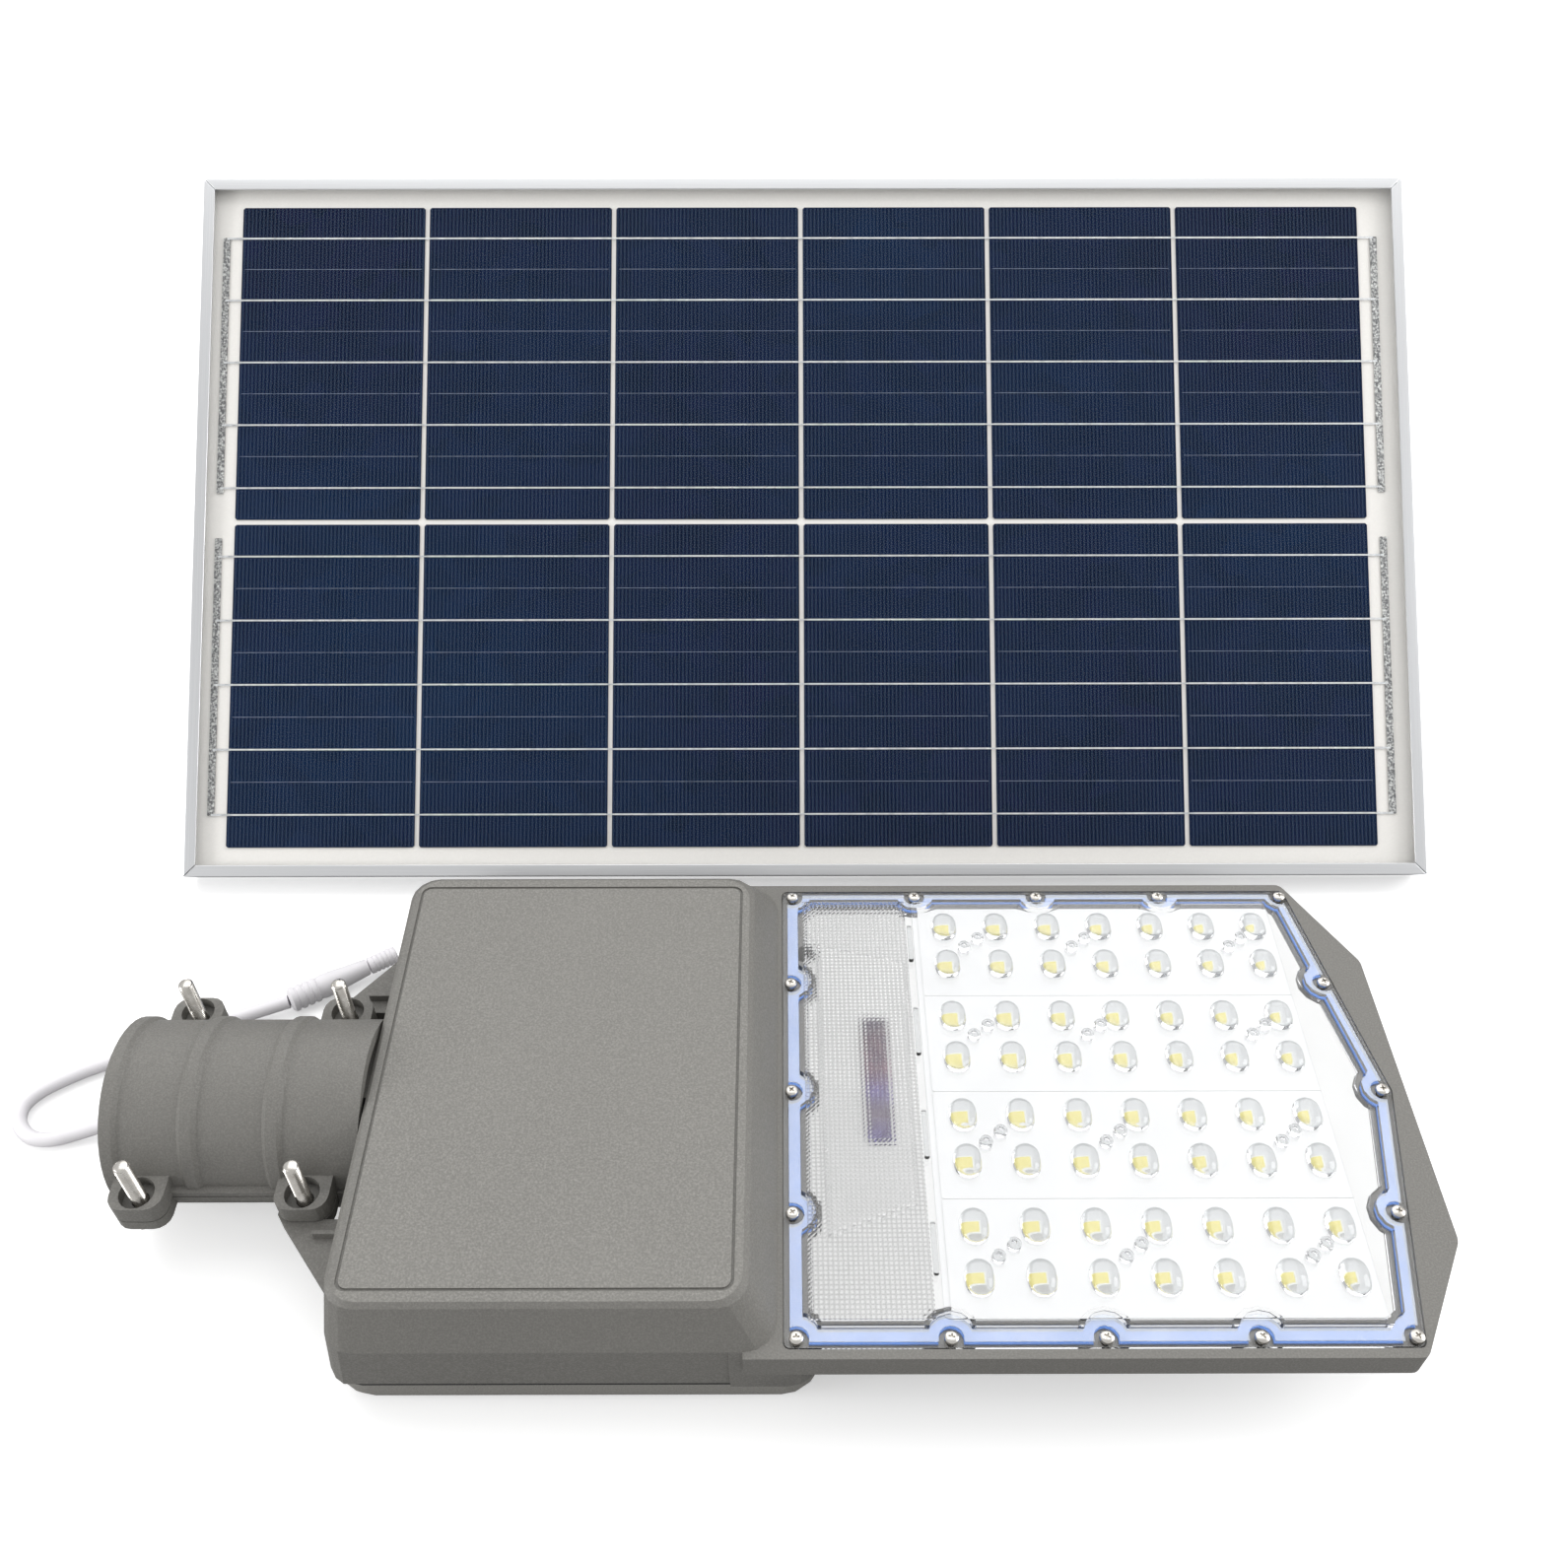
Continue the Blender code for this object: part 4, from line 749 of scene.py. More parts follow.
def white_plastic():
    base = bpy.context.scene.lamp_looks.lead
    made = Finish("white_cable_jacket", Specular_IOR_Level=0.45)
    tone = made.effect("mottle", Size=0.02)["Tone"]
    made.link(made.blend(tone, shade(base, 0.96), base), "Base Color")
    made.link(made.between(tone, 0.42, 0.30), "Roughness")
    made.bump(made.effect("grain", Size=0.0012)["Height"], 0.10, 0.00003)
    return made


def battery_wrap():
    made = Finish("battery_shrink_wrap", Specular_IOR_Level=0.5)
    tone = made.effect("mottle", Size=0.02)["Tone"]
    made.link(made.blend(tone, (0.01, 0.08, 0.28), (0.02, 0.14, 0.42)), "Base Color")
    made.link(made.between(tone, 0.35, 0.18), "Roughness")
    return made


def green_board():
    made = Finish("green_solder_mask")
    tone = made.effect("mottle", Size=0.006)["Tone"]
    made.link(made.blend(tone, (0.01, 0.10, 0.035), (0.02, 0.20, 0.07)), "Base Color")
    made.link(made.between(tone, 0.50, 0.30), "Roughness")
    return made


def floor_white():
    """Studio white: full brightness straight on, and a quieter bounce on to the lamp."""
    made = Finish("studio_floor", Specular_IOR_Level=0.1)
    tone = made.effect("mottle", Size=0.8)["Tone"]
    made.link(made.blend(tone, (0.90, 0.90, 0.90), (0.92, 0.92, 0.92)), "Base Color")
    made.shader.inputs["Roughness"].default_value = 0.8
    made.shader.inputs["Emission Color"].default_value = (1, 1, 1, 1)
    made.shader.inputs["Emission Strength"].default_value = 0.40
    tree = made.tree
    quiet = add(tree, "BsdfDiffuse", Color=(0.44, 0.44, 0.44, 1))
    path = add(tree, "LightPath")
    mix = add(tree, "MixShader")
    tree.links.new(path.outputs["Is Camera Ray"], mix.inputs[0])
    tree.links.new(quiet.outputs[0], mix.inputs[1])
    tree.links.new(made.shader.outputs[0], mix.inputs[2])
    tree.links.new(mix.outputs[0], tree.nodes["Material Output"].inputs["Surface"])
    return made


MAKERS = {maker.__name__: maker for maker in (
    cast_paint, cover_paint_lit_band, coarse_paint_lit_top, zinc_steel, galvanised_steel, anodised_across, anodised_upright,
    black_rubber, black_plastic, blue_silicone, white_board, chip_body, phosphor, window_strip, clear_cover,
    clear_dome, flange_bead_sheen, prism_plastic, panel_glass, silicon, solder_ribbon, bus_ribbon, print_line,
    backsheet, white_plastic, battery_wrap, green_board, floor_white)}


# ---------------------------------------------------------------- cast pieces
def build_housing(looks):
    body = soften(cad_copy("housing", "housing_casting"), looks.edge, angle=19)
    left, right, half = FACE_PANEL
    ring = plate(rectangle(left, right, -half, half, 0.004), FACE_Z - 0.0007, FACE_Z + 0.001)
    inner = plate(rectangle(left + FACE_GROOVE, right - FACE_GROOVE, -half + FACE_GROOVE, half - FACE_GROOVE,
                            0.0032), FACE_Z - 0.002, FACE_Z + 0.002)
    carve(ring, inner)
    carve(body, ring)
    for side in (1, -1):
        near, far = sorted((side * (BOX_HALF_Y - LEDGE), side * (BOX_HALF_Y + 0.0006)))
        carve(body, plate(rectangle(-0.0935, 0.0560, near, far, 0.0003, 1), 0.0150, WAIST_Z - 0.0006))
    wear(body, [finish("cast_paint"), finish("coarse_paint_lit_top")], "lamp_head", ("housing",))
    # The textured field on top takes the lifted copy of the paint, which is painted light on the top face.
    for face in body.data.polygons:
        x, y, z = face.center
        if face.normal.z > 0.99 and z > FACE_Z - 0.0001 and left + 0.0005 < x < right - 0.0005 \
                and abs(y) < half - 0.0005:
            face.material_index = 1
    build_web_ribs()
    return body


def build_web_ribs():
    """Stiffening ribs on the webs between the clamp's lugs and the box."""
    ribs = []
    for side in (1, -1):
        for y in (0.0545, 0.0640):
            top = 0.0402 - (y - 0.0545) * 0.25
            rib = plate(rectangle(-0.1000 + (y - 0.0545) * 0.9, -0.0870, side * y - 0.0009, side * y + 0.0009,
                                  0.0006, 2), 0.0300, top)
            ribs.append(rib)
    ob = soften(joined(ribs, "web_ribs"), 0.0003)
    return wear(ob, finish("cast_paint"), "lamp_head")


def build_clamp_cap(looks):
    cap = soften(cad_copy("clamp_cap", "clamp_cap_casting"), looks.edge, angle=19)
    return wear(cap, finish("cast_paint"), "clamp_cap", ("clamp_cap",))


def build_battery_cover(looks):
    cover = soften(cad_copy("battery_cover", "battery_cover_casting"), looks.edge)
    wear(cover, finish("cover_paint_lit_band"), "lamp_head", ("battery_cover",))
    dress("battery_cover_gasket", finish("black_rubber"))
    dress("battery_pack", finish("battery_wrap"))
    dress("battery_bracket", finish("galvanised_steel"))
    dress("controller_board", finish("green_board"))


# ---------------------------------------------------------------- screws and bolts
def cross_recess(depth, reach, width):
    """Cutter for a cross recess: two wedge bars that meet at the middle, its top at z = 0."""
    bars = []
    for turn in (0, 90):
        bar = plate(rectangle(-reach, reach, -width / 2, width / 2, width * 0.3, 2), -depth, 0.0012)
        edit(bar, "DESELECT")
        bpy.ops.object.mode_set(mode="OBJECT")
        for vertex in bar.data.vertices:
            if vertex.co.z < 0:
                vertex.co.x *= 0.45
        bars.append(place(bar, Matrix.Rotation(math.radians(turn + 20), 4, "Z")))
    return carve(bars[0], bars[1], "UNION")


def pan_screw(radius, height, shank, length):
    """A pan-head screw with a cross recess; its seat is at z = 0 and its shank hangs down."""
    head = turned([(shank, -length), (shank, 0), (radius, 0), (radius, height * 0.35),
                   (radius * 0.93, height * 0.68), (radius * 0.72, height * 0.9), (radius * 0.35, height)], 28)
    cutter = place(cross_recess(height * 0.8, radius * 0.62, radius * 0.24), Matrix.Translation((0, 0, height)))
    carve(head, cutter)
    only(head)
    bpy.ops.object.shade_smooth_by_angle(angle=SMOOTH)
    return head


def build_lens_screws(looks):
    model = pan_screw(0.0026, 0.0017, 0.0012, 0.0072)
    for i in range(1, 17):
        node = f"lens_screw_{i:02d}"
        low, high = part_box(node)
        middle = (low + high) / 2
        turn = Matrix.Rotation(math.radians(37 * i), 4, "Z")
        ob = twin(model, Matrix.Translation((middle.x, middle.y, SCREW_TOP)) @ turn, f"lens_screw_head_{i:02d}")
        wear(ob, finish("zinc_steel"), "lamp_head", (node,))
    bpy.data.objects.remove(model, do_unlink=True)


def build_cover_screws(looks):
    model = pan_screw(0.0038, 0.0022, 0.0018, 0.0270)
    flip = Matrix.Rotation(math.pi, 4, "X")
    for i in range(1, 5):
        node = f"battery_cover_screw_{i}"
        low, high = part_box(node)
        middle = (low + high) / 2
        ob = twin(model, Matrix.Translation((middle.x, middle.y, 0.0030)) @ flip, f"cover_screw_head_{i}")
        wear(ob, finish("zinc_steel"), "lamp_head", (node,))
    bpy.data.objects.remove(model, do_unlink=True)


def threaded_rod(radius, depth, pitch, z0, z1, sides=20, rows=4):
    """A rod whose thread runs the whole way up, with a chamfered top."""
    fresh()
    count = round((z1 - z0) / pitch * rows)
    bpy.ops.mesh.primitive_grid_add(x_subdivisions=sides, y_subdivisions=count, size=2)
    ob = bpy.context.object
    for vertex in ob.data.vertices:
        u, v = (vertex.co.x + 1) / 2, (vertex.co.y + 1) / 2
        z = z0 + (z1 - z0) * v
        turn = (z / pitch - u) % 1.0
        crest = 1 - abs(2 * turn - 1)
        r = radius - depth * (1 - min(1.0, crest * 1.25))
        r = min(r, radius - depth * 1.3 + max(0.0, z1 - z) * 0.9)
        vertex.co = (r * math.cos(2 * math.pi * u), r * math.sin(2 * math.pi * u), z)
    edit(ob)
    bpy.ops.mesh.remove_doubles(threshold=0.00001)
    bpy.ops.mesh.select_all(action="DESELECT")
    bpy.ops.mesh.select_non_manifold(extend=False)
    bpy.ops.mesh.fill_holes(sides=0)
    bpy.ops.mesh.select_all(action="SELECT")
    bpy.ops.mesh.normals_make_consistent(inside=False)
    leave()
    only(ob)
    bpy.ops.object.shade_smooth_by_angle(angle=math.radians(50))
    return ob


def build_clamp_bolts(looks):
    rod = threaded_rod(0.0030, 0.00052, THREAD_PITCH, -0.0005, BOLT_TOP - BOLT_SEAT)
    head = turned([(0.0050, -0.0040), (0.0058, -0.0036), (0.0058, -0.0006), (0.0052, 0.0)], 6)
    soften(head, 0.0003)
    model = joined([rod, head], "bolt_model")
    for i in range(1, 5):
        x, y, z = JOINT_AT[f"clamp_bolt_{i}_turn"]["pos_m"]
        turn = Matrix.Rotation(math.radians(50 * i), 4, "Z")
        ob = twin(model, Matrix.Translation((x, y, z)) @ turn, f"clamp_bolt_thread_{i}")
        wear(ob, finish("zinc_steel"), f"clamp_bolt_{i}", (f"clamp_bolt_{i}",))
    bpy.data.objects.remove(model, do_unlink=True)


# ---------------------------------------------------------------- LED side
def build_board(looks):
    dress("led_board", finish("white_board"))
    dress("sensor_board", finish("window_strip"))
    seams = (-0.0930, -0.0465, 0.0, 0.0465, 0.0930)
    strips = [plate(rectangle(0.1335, 0.2865, low + 0.0001, high - 0.0001, 0.001, 2), BOARD_TOP + 0.0001,
                    BOARD_TOP + 0.0003) for low, high in zip(seams, seams[1:])]
    wear(joined(strips, "led_modules"), finish("white_board"), "lamp_head")
    z0 = BOARD_TOP + 0.0003
    chip = plate(rectangle(-looks.chip / 2, looks.chip / 2, -looks.chip / 2, looks.chip / 2, 0.0003, 2),
                 z0, z0 + 0.0009)
    edit(chip, "DESELECT")
    leave()
    for face in chip.data.polygons:
        face.select = face.normal.z > 0.9 and face.center.z > z0 + 0.0005
    bpy.ops.object.mode_set(mode="EDIT")
    bpy.ops.mesh.inset(thickness=looks.chip * 0.10, depth=-0.00012)
    leave()
    chip.data.materials.append(finish("chip_body"))
    chip.data.materials.append(finish("phosphor"))
    for face in chip.data.polygons:
        face.material_index = 1 if face.select else 0
    chips = [twin(chip, Matrix.Translation((x, y + CHIP_SHIFT, 0)), "chip") for x in LED_X for y in LED_Y]
    bpy.data.objects.remove(chip, do_unlink=True)
    ob = joined(chips, "led_chips")
    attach(ob, "lamp_head")
    seal = soften(cad_copy("lens_gasket", "lens_gasket_bead"), 0.00025)
    wear(seal, finish("blue_silicone"), "lamp_head", ("lens_gasket",))


def lens_dome(half_x, half_y, height):
    """One oblong clear dome over an LED, its flat side at z = 0."""
    fresh()
    bpy.ops.mesh.primitive_uv_sphere_add(segments=24, ring_count=14, radius=1.0)
    ob = bpy.context.object
    edit(ob)
    bpy.ops.mesh.bisect(plane_co=(0, 0, 0.02), plane_no=(0, 0, 1), clear_inner=True, use_fill=True)
    leave()
    straight = (half_y - half_x) / half_y
    for vertex in ob.data.vertices:
        x, y, z = vertex.co
        swell = z ** 0.75 if z > 0 else 0
        vertex.co = (x * half_x, y * half_x + math.copysign(min(1, abs(y) * 3), y) * (half_y - half_x),
                     (swell - 0.02 ** 0.75) * height)
    only(ob)
    bpy.ops.object.shade_smooth_by_angle(angle=math.radians(50))
    return ob


def build_lens_cover(looks):
    glass = finish("clear_cover")
    cover = soften(cad_copy("lens_cover", "lens_cover_shell"), 0.0005, 3)
    wear(cover, glass, "lamp_head", ("lens_cover",))
    z0 = LENS_TOP + 0.00005

    bead = cad_copy("lens_gasket", "lens_flange_bead")
    low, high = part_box("lens_gasket")
    for vertex in bead.data.vertices:
        vertex.co.z = FLANGE_TOP + 0.00005 + 0.0007 * (vertex.co.z - low.z) / (high.z - low.z)
    soften(bead, 0.00025)
    # The bead's whitish finish is a painted highlight along the flange.
    wear(bead, finish("flange_bead_sheen"), "lamp_head")

    model = lens_dome(looks.dome_width / 2, looks.dome_length / 2, looks.dome_height)
    base = 0.0008
    domes = [twin(model, Matrix.Translation((x, y, z0 + base + 0.00005)), "dome") for x in LED_X for y in LED_Y]
    bpy.data.objects.remove(model, do_unlink=True)
    wear(joined(domes, "lens_domes"), finish("clear_dome"), "lamp_head")

    slab = plate(rectangle(0.1305, RIDGE_X, -0.0945, 0.0945, 0.002, 3), z0, z0 + base)
    soften(slab, 0.00035, 3)
    wear(slab, glass, "lamp_head")
    named(slab, "lens_array_plate")

    bosses = []
    for x in BOSS_X:
        for y in BOSS_Y:
            for dx, dy in ((0.0030, 0.0023), (-0.0030, -0.0023)):
                boss = turned([(0.0026, 0), (0.0026, 0.0016), (0.0021, 0.0024), (0.0012, 0.0024), (0.0008, 0.0012)],
                              18)
                bosses.append(place(boss, Matrix.Translation((x + dx, y + dy, z0 + base + 0.0001))))
    ob = joined(bosses, "lens_bosses")
    only(ob)
    bpy.ops.object.shade_smooth_by_angle(angle=SMOOTH)
    wear(ob, finish("clear_dome"), "lamp_head")
    build_prism_field(z0)


def inside_trough(x, y):
    """How far a point is inside the raised trough's outline, in metres; negative outside."""
    depth = 1.0
    middle = Vector((0.107, 0.004))
    for (ax, ay), (bx, by) in zip(TROUGH, TROUGH[1:] + TROUGH[:1]):
        along = Vector((bx - ax, by - ay))
        side = Vector((-along.y, along.x)).normalized()
        if side.dot(middle - Vector((ax, ay))) < 0:
            side.negate()
        depth = min(depth, side.dot(Vector((x - ax, y - ay))))
    return depth


def build_prism_field(z0):
    """Pyramid texture over the receiver, with its raised trough and the snap tabs beside it."""
    left, right, half = PRISM_FIELD
    step = 0.0009
    nx, ny = round((right - left) / step), round(2 * half / step)
    fresh()
    bpy.ops.mesh.primitive_grid_add(x_subdivisions=nx, y_subdivisions=ny, size=2)
    ob = bpy.context.object
    for vertex in ob.data.vertices:
        vertex.co = (left + (vertex.co.x + 1) / 2 * (right - left), vertex.co.y * half, z0)
    edit(ob)
    bpy.ops.mesh.extrude_region_move(TRANSFORM_OT_translate={"value": (0, 0, 0.0008)})
    bpy.ops.mesh.select_all(action="SELECT")
    bpy.ops.mesh.normals_make_consistent(inside=False)
    leave()
    for vertex in ob.data.vertices:
        x, y, z = vertex.co
        if z < z0 + 0.0004:
            continue
        i, j = round((x - left) / (right - left) * nx), round((y + half) / (2 * half) * ny)
        peak = 0.00050 if i % 2 and j % 2 else 0.0
        depth = inside_trough(x, y)
        lift = 0.0016 * min(1.0, max(0.0, depth / 0.0012))
        vertex.co.z = z + peak + lift
    named(ob, "prism_field")
    wear(ob, finish("prism_plastic"), "lamp_head")

    tabs = []
    for y0, y1, x in ((0.0615, 0.0800, 0.1288), (0.0145, 0.0370, 0.1288), (-0.0320, -0.0115, 0.1288),
                      (-0.0785, -0.0585, 0.1288)):
        tabs.append(plate(rectangle(x - 0.0009, x + 0.0011, y0, y1, 0.0006, 2), z0, z0 + 0.0022))
    tab = soften(joined(tabs, "prism_tabs"), 0.0003)
    wear(tab, finish("clear_dome"), "lamp_head")


# ---------------------------------------------------------------- lead and connector
def smooth_route(route, spacing):
    """Points a fixed distance apart on a smooth curve through the route's own points."""
    ends = [2 * Vector(route[0]) - Vector(route[1])] + [Vector(point) for point in route]
    ends.append(2 * Vector(route[-1]) - Vector(route[-2]))
    fine = []
    for i in range(1, len(ends) - 2):
        p0, p1, p2, p3 = ends[i - 1:i + 3]
        for k in range(16):
            t = k / 16
            fine.append(0.5 * (2 * p1 + (p2 - p0) * t + (2 * p0 - 5 * p1 + 4 * p2 - p3) * t * t
                               + (3 * p1 - p0 - 3 * p2 + p3) * t ** 3))
    fine.append(ends[-2])
    total = sum((b - a).length for a, b in zip(fine, fine[1:]))
    count = max(2, round(total / spacing))
    points = [fine[0]]
    walked = 0.0
    for a, b in zip(fine, fine[1:]):
        step = (b - a).length
        while walked + step >= total * len(points) / count and len(points) < count:
            points.append(a.lerp(b, (total * len(points) / count - walked) / step))
        walked += step
    points.append(fine[-1])
    return points


def build_lead(looks):
    points = smooth_route(LEAD_ROUTE, 0.0025)
    curve = bpy.data.curves.new("lamp_lead_jacket", "CURVE")
    curve.dimensions = "3D"
    curve.bevel_depth = LEAD_D / 2
    curve.bevel_resolution = 6
    curve.use_fill_caps = True
    spline = curve.splines.new("POLY")
    spline.points.add(len(points) - 1)
    for point, spot in zip(spline.points, points):
        point.co = (*spot, 1)
    spline.use_smooth = True
    lead = bpy.data.objects.new("lamp_lead_jacket", curve)
    bpy.context.scene.collection.objects.link(lead)
    lead.data.materials.append(finish("white_plastic"))
    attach(lead, "lamp_head")
    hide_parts("lamp_lead")

    gland = turned([(0.0042, 0.0), (0.0046, 0.0010), (0.0054, 0.0042), (0.0068, 0.0050), (0.0068, 0.0100),
                    (0.0085, 0.0110), (0.0085, 0.0165)], 32)
    soften(gland, 0.0003)
    place(gland, facing((1, 0, 0), (-0.1056, 0, GLAND_Z)))
    wear(named(gland, "gland_boot"), finish("black_rubber"), "lamp_head", ("cable_gland",))

    grip = [(0.0034, 0.0), (0.0046, 0.0004)]
    for i in range(4):
        h = 0.0012 + 0.00325 * i
        grip += [(0.0050, h - 0.0004), (0.0056, h), (0.0057, h + 0.0009), (0.0056, h + 0.0018), (0.0050, h + 0.0022)]
    grip += [(0.0052, 0.0142), (0.0055, 0.0160), (0.0054, 0.0190), (0.0050, 0.0230), (0.0045, 0.0280),
             (0.0041, 0.0330), (0.0038, 0.0362), (0.0034, 0.0369)]
    body = turned(grip, 36)
    only(body)
    bpy.ops.object.shade_smooth_by_angle(angle=SMOOTH)
    place(body, facing(PLUG_AXIS, PLUG_START))
    wear(named(body, "plug_body"), finish("white_plastic"), "lamp_head", ("plug_grip",))

    rings = [(0.0034, 0.0004), (0.0040, 0.0008)]
    for i in range(6):
        h = 0.0014 + 0.0020 * i
        rings += [(0.0040, h), (0.0041, h + 0.0003), (0.0041, h + 0.0011), (0.0036, h + 0.0014)]
    rings += [(0.0038, 0.0134), (0.0030, 0.0137)]
    ring = turned(rings, 32)
    only(ring)
    bpy.ops.object.shade_smooth_by_angle(angle=SMOOTH)
    place(ring, facing(PLUG_AXIS, PLUG_START + PLUG_AXIS * 0.0370))
    wear(named(ring, "plug_ring"), finish("white_plastic"), "plug_sleeve", ("plug_sleeve",))


# ---------------------------------------------------------------- solar panel
def build_frame_rails(looks):
    for side, make in (("bottom", "anodised_across"), ("top", "anodised_across"),
                       ("left", "anodised_upright"), ("right", "anodised_upright")):
        node = f"frame_rail_{side}"
        rail = soften(cad_copy(node, f"rail_{side}"), 0.00035)
        wear(rail, finish(make), "panel_unit", (node,))


def build_laminate(looks):
    silicon_finish, ribbon, line = finish("silicon"), finish("solder_ribbon"), finish("print_line")
    chamfer = 0.0009
    for row, middle in ROW_MIDDLE.items():
        low, high = middle - CELL_H / 2, middle + CELL_H / 2
        cells, ties, dashes = [], [], []
        for i in range(6):
            left = CELL_LEFT + i * CELL_PITCH
            right = left + CELL_W
            outline = [(left + chamfer, low), (right - chamfer, low), (right, low + chamfer),
                       (right, high - chamfer), (right - chamfer, high), (left + chamfer, high),
                       (left, high - chamfer), (left, low + chamfer)]
            cells.append(plate(outline, CELL_TOP - 0.0003, CELL_TOP))
            for k in range(RIBBONS):
                y = middle + (k - (RIBBONS - 1) / 2) * CELL_H / RIBBONS
                ties.append(plate(rectangle(left + 0.0012, right - 0.0004, y - 0.0004, y + 0.0004, 0.0002, 1),
                                  CELL_TOP + 0.00002, CELL_TOP + 0.00020))
                ties.append(plate(rectangle(left - 0.0028, left + 0.0016, y - 0.00035, y + 0.00035, 0.0001, 1),
                                  CELL_TOP - 0.00002, CELL_TOP + 0.00012))
                if k < RIBBONS - 1:
                    mid = y + CELL_H / RIBBONS / 2
                    dashes.append(plate(rectangle(left + 0.0015, right - 0.0015, mid - 0.0001, mid + 0.0001,
                                                  0.00004, 1), CELL_TOP + 0.00002, CELL_TOP + 0.00006))
        for k in range(RIBBONS):
            y = middle + (k - (RIBBONS - 1) / 2) * CELL_H / RIBBONS
            x = CELL_LEFT + 5 * CELL_PITCH + CELL_W
            ties.append(plate(rectangle(x - 0.0004, x + 0.0078, y - 0.0005, y + 0.0005, 0.0001, 1),
                              CELL_TOP - 0.00002, CELL_TOP + 0.00012))
            ties.append(plate(rectangle(CELL_LEFT - 0.0078, CELL_LEFT + 0.0012, y - 0.0005, y + 0.0005, 0.0001, 1),
                              CELL_TOP - 0.00002, CELL_TOP + 0.00012))
        for parts, name, mat, stands in ((cells, f"cells_{row}", silicon_finish, (f"cell_string_{row}",)),
                                         (ties, f"ribbons_{row}", ribbon, ()),
                                         (dashes, f"tie_lines_{row}", line, ())):
            ob = place(joined(parts, name), PANEL)
            wear(ob, mat, "panel_unit", stands)
    for side, x in (("left", CELL_LEFT - 0.0078), ("right", CELL_LEFT + 5 * CELL_PITCH + CELL_W + 0.0078)):
        halves = [plate(rectangle(x - 0.0017, x + 0.0017, low, high, 0.0004, 2), CELL_TOP - 0.0002, CELL_TOP + 0.0001)
                  for low, high in ((0.0295, 0.1660), (0.1885, 0.3185))]
        ob = place(joined(halves, f"bus_{side}"), PANEL)
        wear(ob, finish("bus_ribbon"), "panel_unit", (f"bus_ribbon_{side}",))
    dress("backsheet", finish("backsheet"))
    dress("panel_glass", finish("panel_glass"))


def build_panel_back(looks):
    for node, name, mat in (("junction_box", "junction_box_case", "black_plastic"),
                            ("junction_box_lid", "junction_box_cap", "black_plastic"),
                            ("junction_gland", "junction_gland_nut", "black_plastic")):
        ob = soften(cad_copy(node, name), 0.0004)
        wear(ob, finish(mat), "panel_unit", (node,))
    for side in ("left", "right"):
        ear = soften(cad_copy(f"ear_bracket_{side}", f"ear_{side}"), 0.0004)
        wear(ear, finish("galvanised_steel"), "panel_unit", (f"ear_bracket_{side}",))
        bolt = soften(cad_copy(f"pivot_bolt_{side}", f"pivot_{side}"), 0.0002)
        wear(bolt, finish("zinc_steel"), "panel_unit", (f"pivot_bolt_{side}",))


def build_yoke(looks):
    yoke = soften(cad_copy("tilt_yoke", "yoke_bar"), 0.0005)
    wear(yoke, finish("galvanised_steel"), "tilt_yoke", ("tilt_yoke",))


def build_knobs(looks):
    for side, sign in (("left", -1), ("right", 1)):
        joint = JOINT_AT[f"pivot_knob_{side}_turn"]
        outline = []
        for k in range(48):
            angle = 2 * math.pi * k / 48
            r = 0.0083 + 0.0007 * math.cos(6 * angle)
            outline.append((r * math.cos(angle), r * math.sin(angle)))
        knob = plate(outline, 0.0030, 0.0118)
        hub = turned([(0.0058, 0.0), (0.0062, 0.0010), (0.0062, 0.0032)], 28)
        cap = turned([(0.0060, 0.0116), (0.0060, 0.0128), (0.0050, 0.0135)], 28)
        body = carve(carve(knob, hub, "UNION"), cap, "UNION")
        bore = turned([(0.0033, -0.01), (0.0033, 0.0105)], 24)
        carve(body, bore)
        soften(body, 0.0004)
        place(named(body, f"star_knob_{side}"), facing((sign, 0, 0), joint["pos_m"]))
        wear(body, finish("black_plastic"), f"pivot_knob_{side}", (f"pivot_knob_{side}",))


# ---------------------------------------------------------------- stage
def build_stage(looks):
    fresh()
    bpy.ops.mesh.primitive_plane_add(size=looks.floor_size, location=(0.08, 0.1, -0.0004))
    floor = place(named(bpy.context.object, "studio_floor"), Matrix())
    floor.data.materials.append(finish("floor_white"))

    world = bpy.data.worlds.new("studio_air")
    world.use_nodes = True
    air = world.node_tree.nodes["Background"]
    air.inputs["Color"].default_value = (1.0, 1.0, 1.0, 1)
    path = add(world.node_tree, "LightPath")
    level = add(world.node_tree, "MapRange", To_Min=looks.air, To_Max=1.0)
    world.node_tree.links.new(path.outputs["Is Camera Ray"], level.inputs["Value"])
    world.node_tree.links.new(level.outputs["Result"], air.inputs["Strength"])
    bpy.context.scene.world = world

    aim = Vector((0.08, 0.08, 0.05))
    for name, spot, size, power in (("key_softbox", (0.10, 1.25, 1.75), 3.0, looks.key),
                                    ("right_softbox", (1.50, 0.10, 0.80), 0.9, looks.fill),
                                    ("left_softbox", (-1.30, -0.35, 0.45), 0.5, looks.front)):
        lamp = bpy.data.lights.new(name, "AREA")
        lamp.shape = "SQUARE"
        lamp.size = size
        lamp.energy = power
        ob = bpy.data.objects.new(name, lamp)
        ob.location = spot
        ob.rotation_euler = (aim - Vector(spot)).to_track_quat("-Z", "Y").to_euler()
        bpy.context.scene.collection.objects.link(ob)

    lens = bpy.data.cameras.new("camera")
    lens.sensor_width = 36.0
    lens.lens = 33.94
    camera = bpy.data.objects.new("camera", lens)
    camera.location = (0.0744, -0.3257, 0.5437)
    camera.rotation_euler = (math.radians(45.12), 0.0, math.radians(-0.15))
    bpy.context.scene.collection.objects.link(camera)
    bpy.context.scene.camera = camera
    bpy.context.scene.view_settings.view_transform = "Standard"
    bpy.context.scene.cycles.use_denoising = True


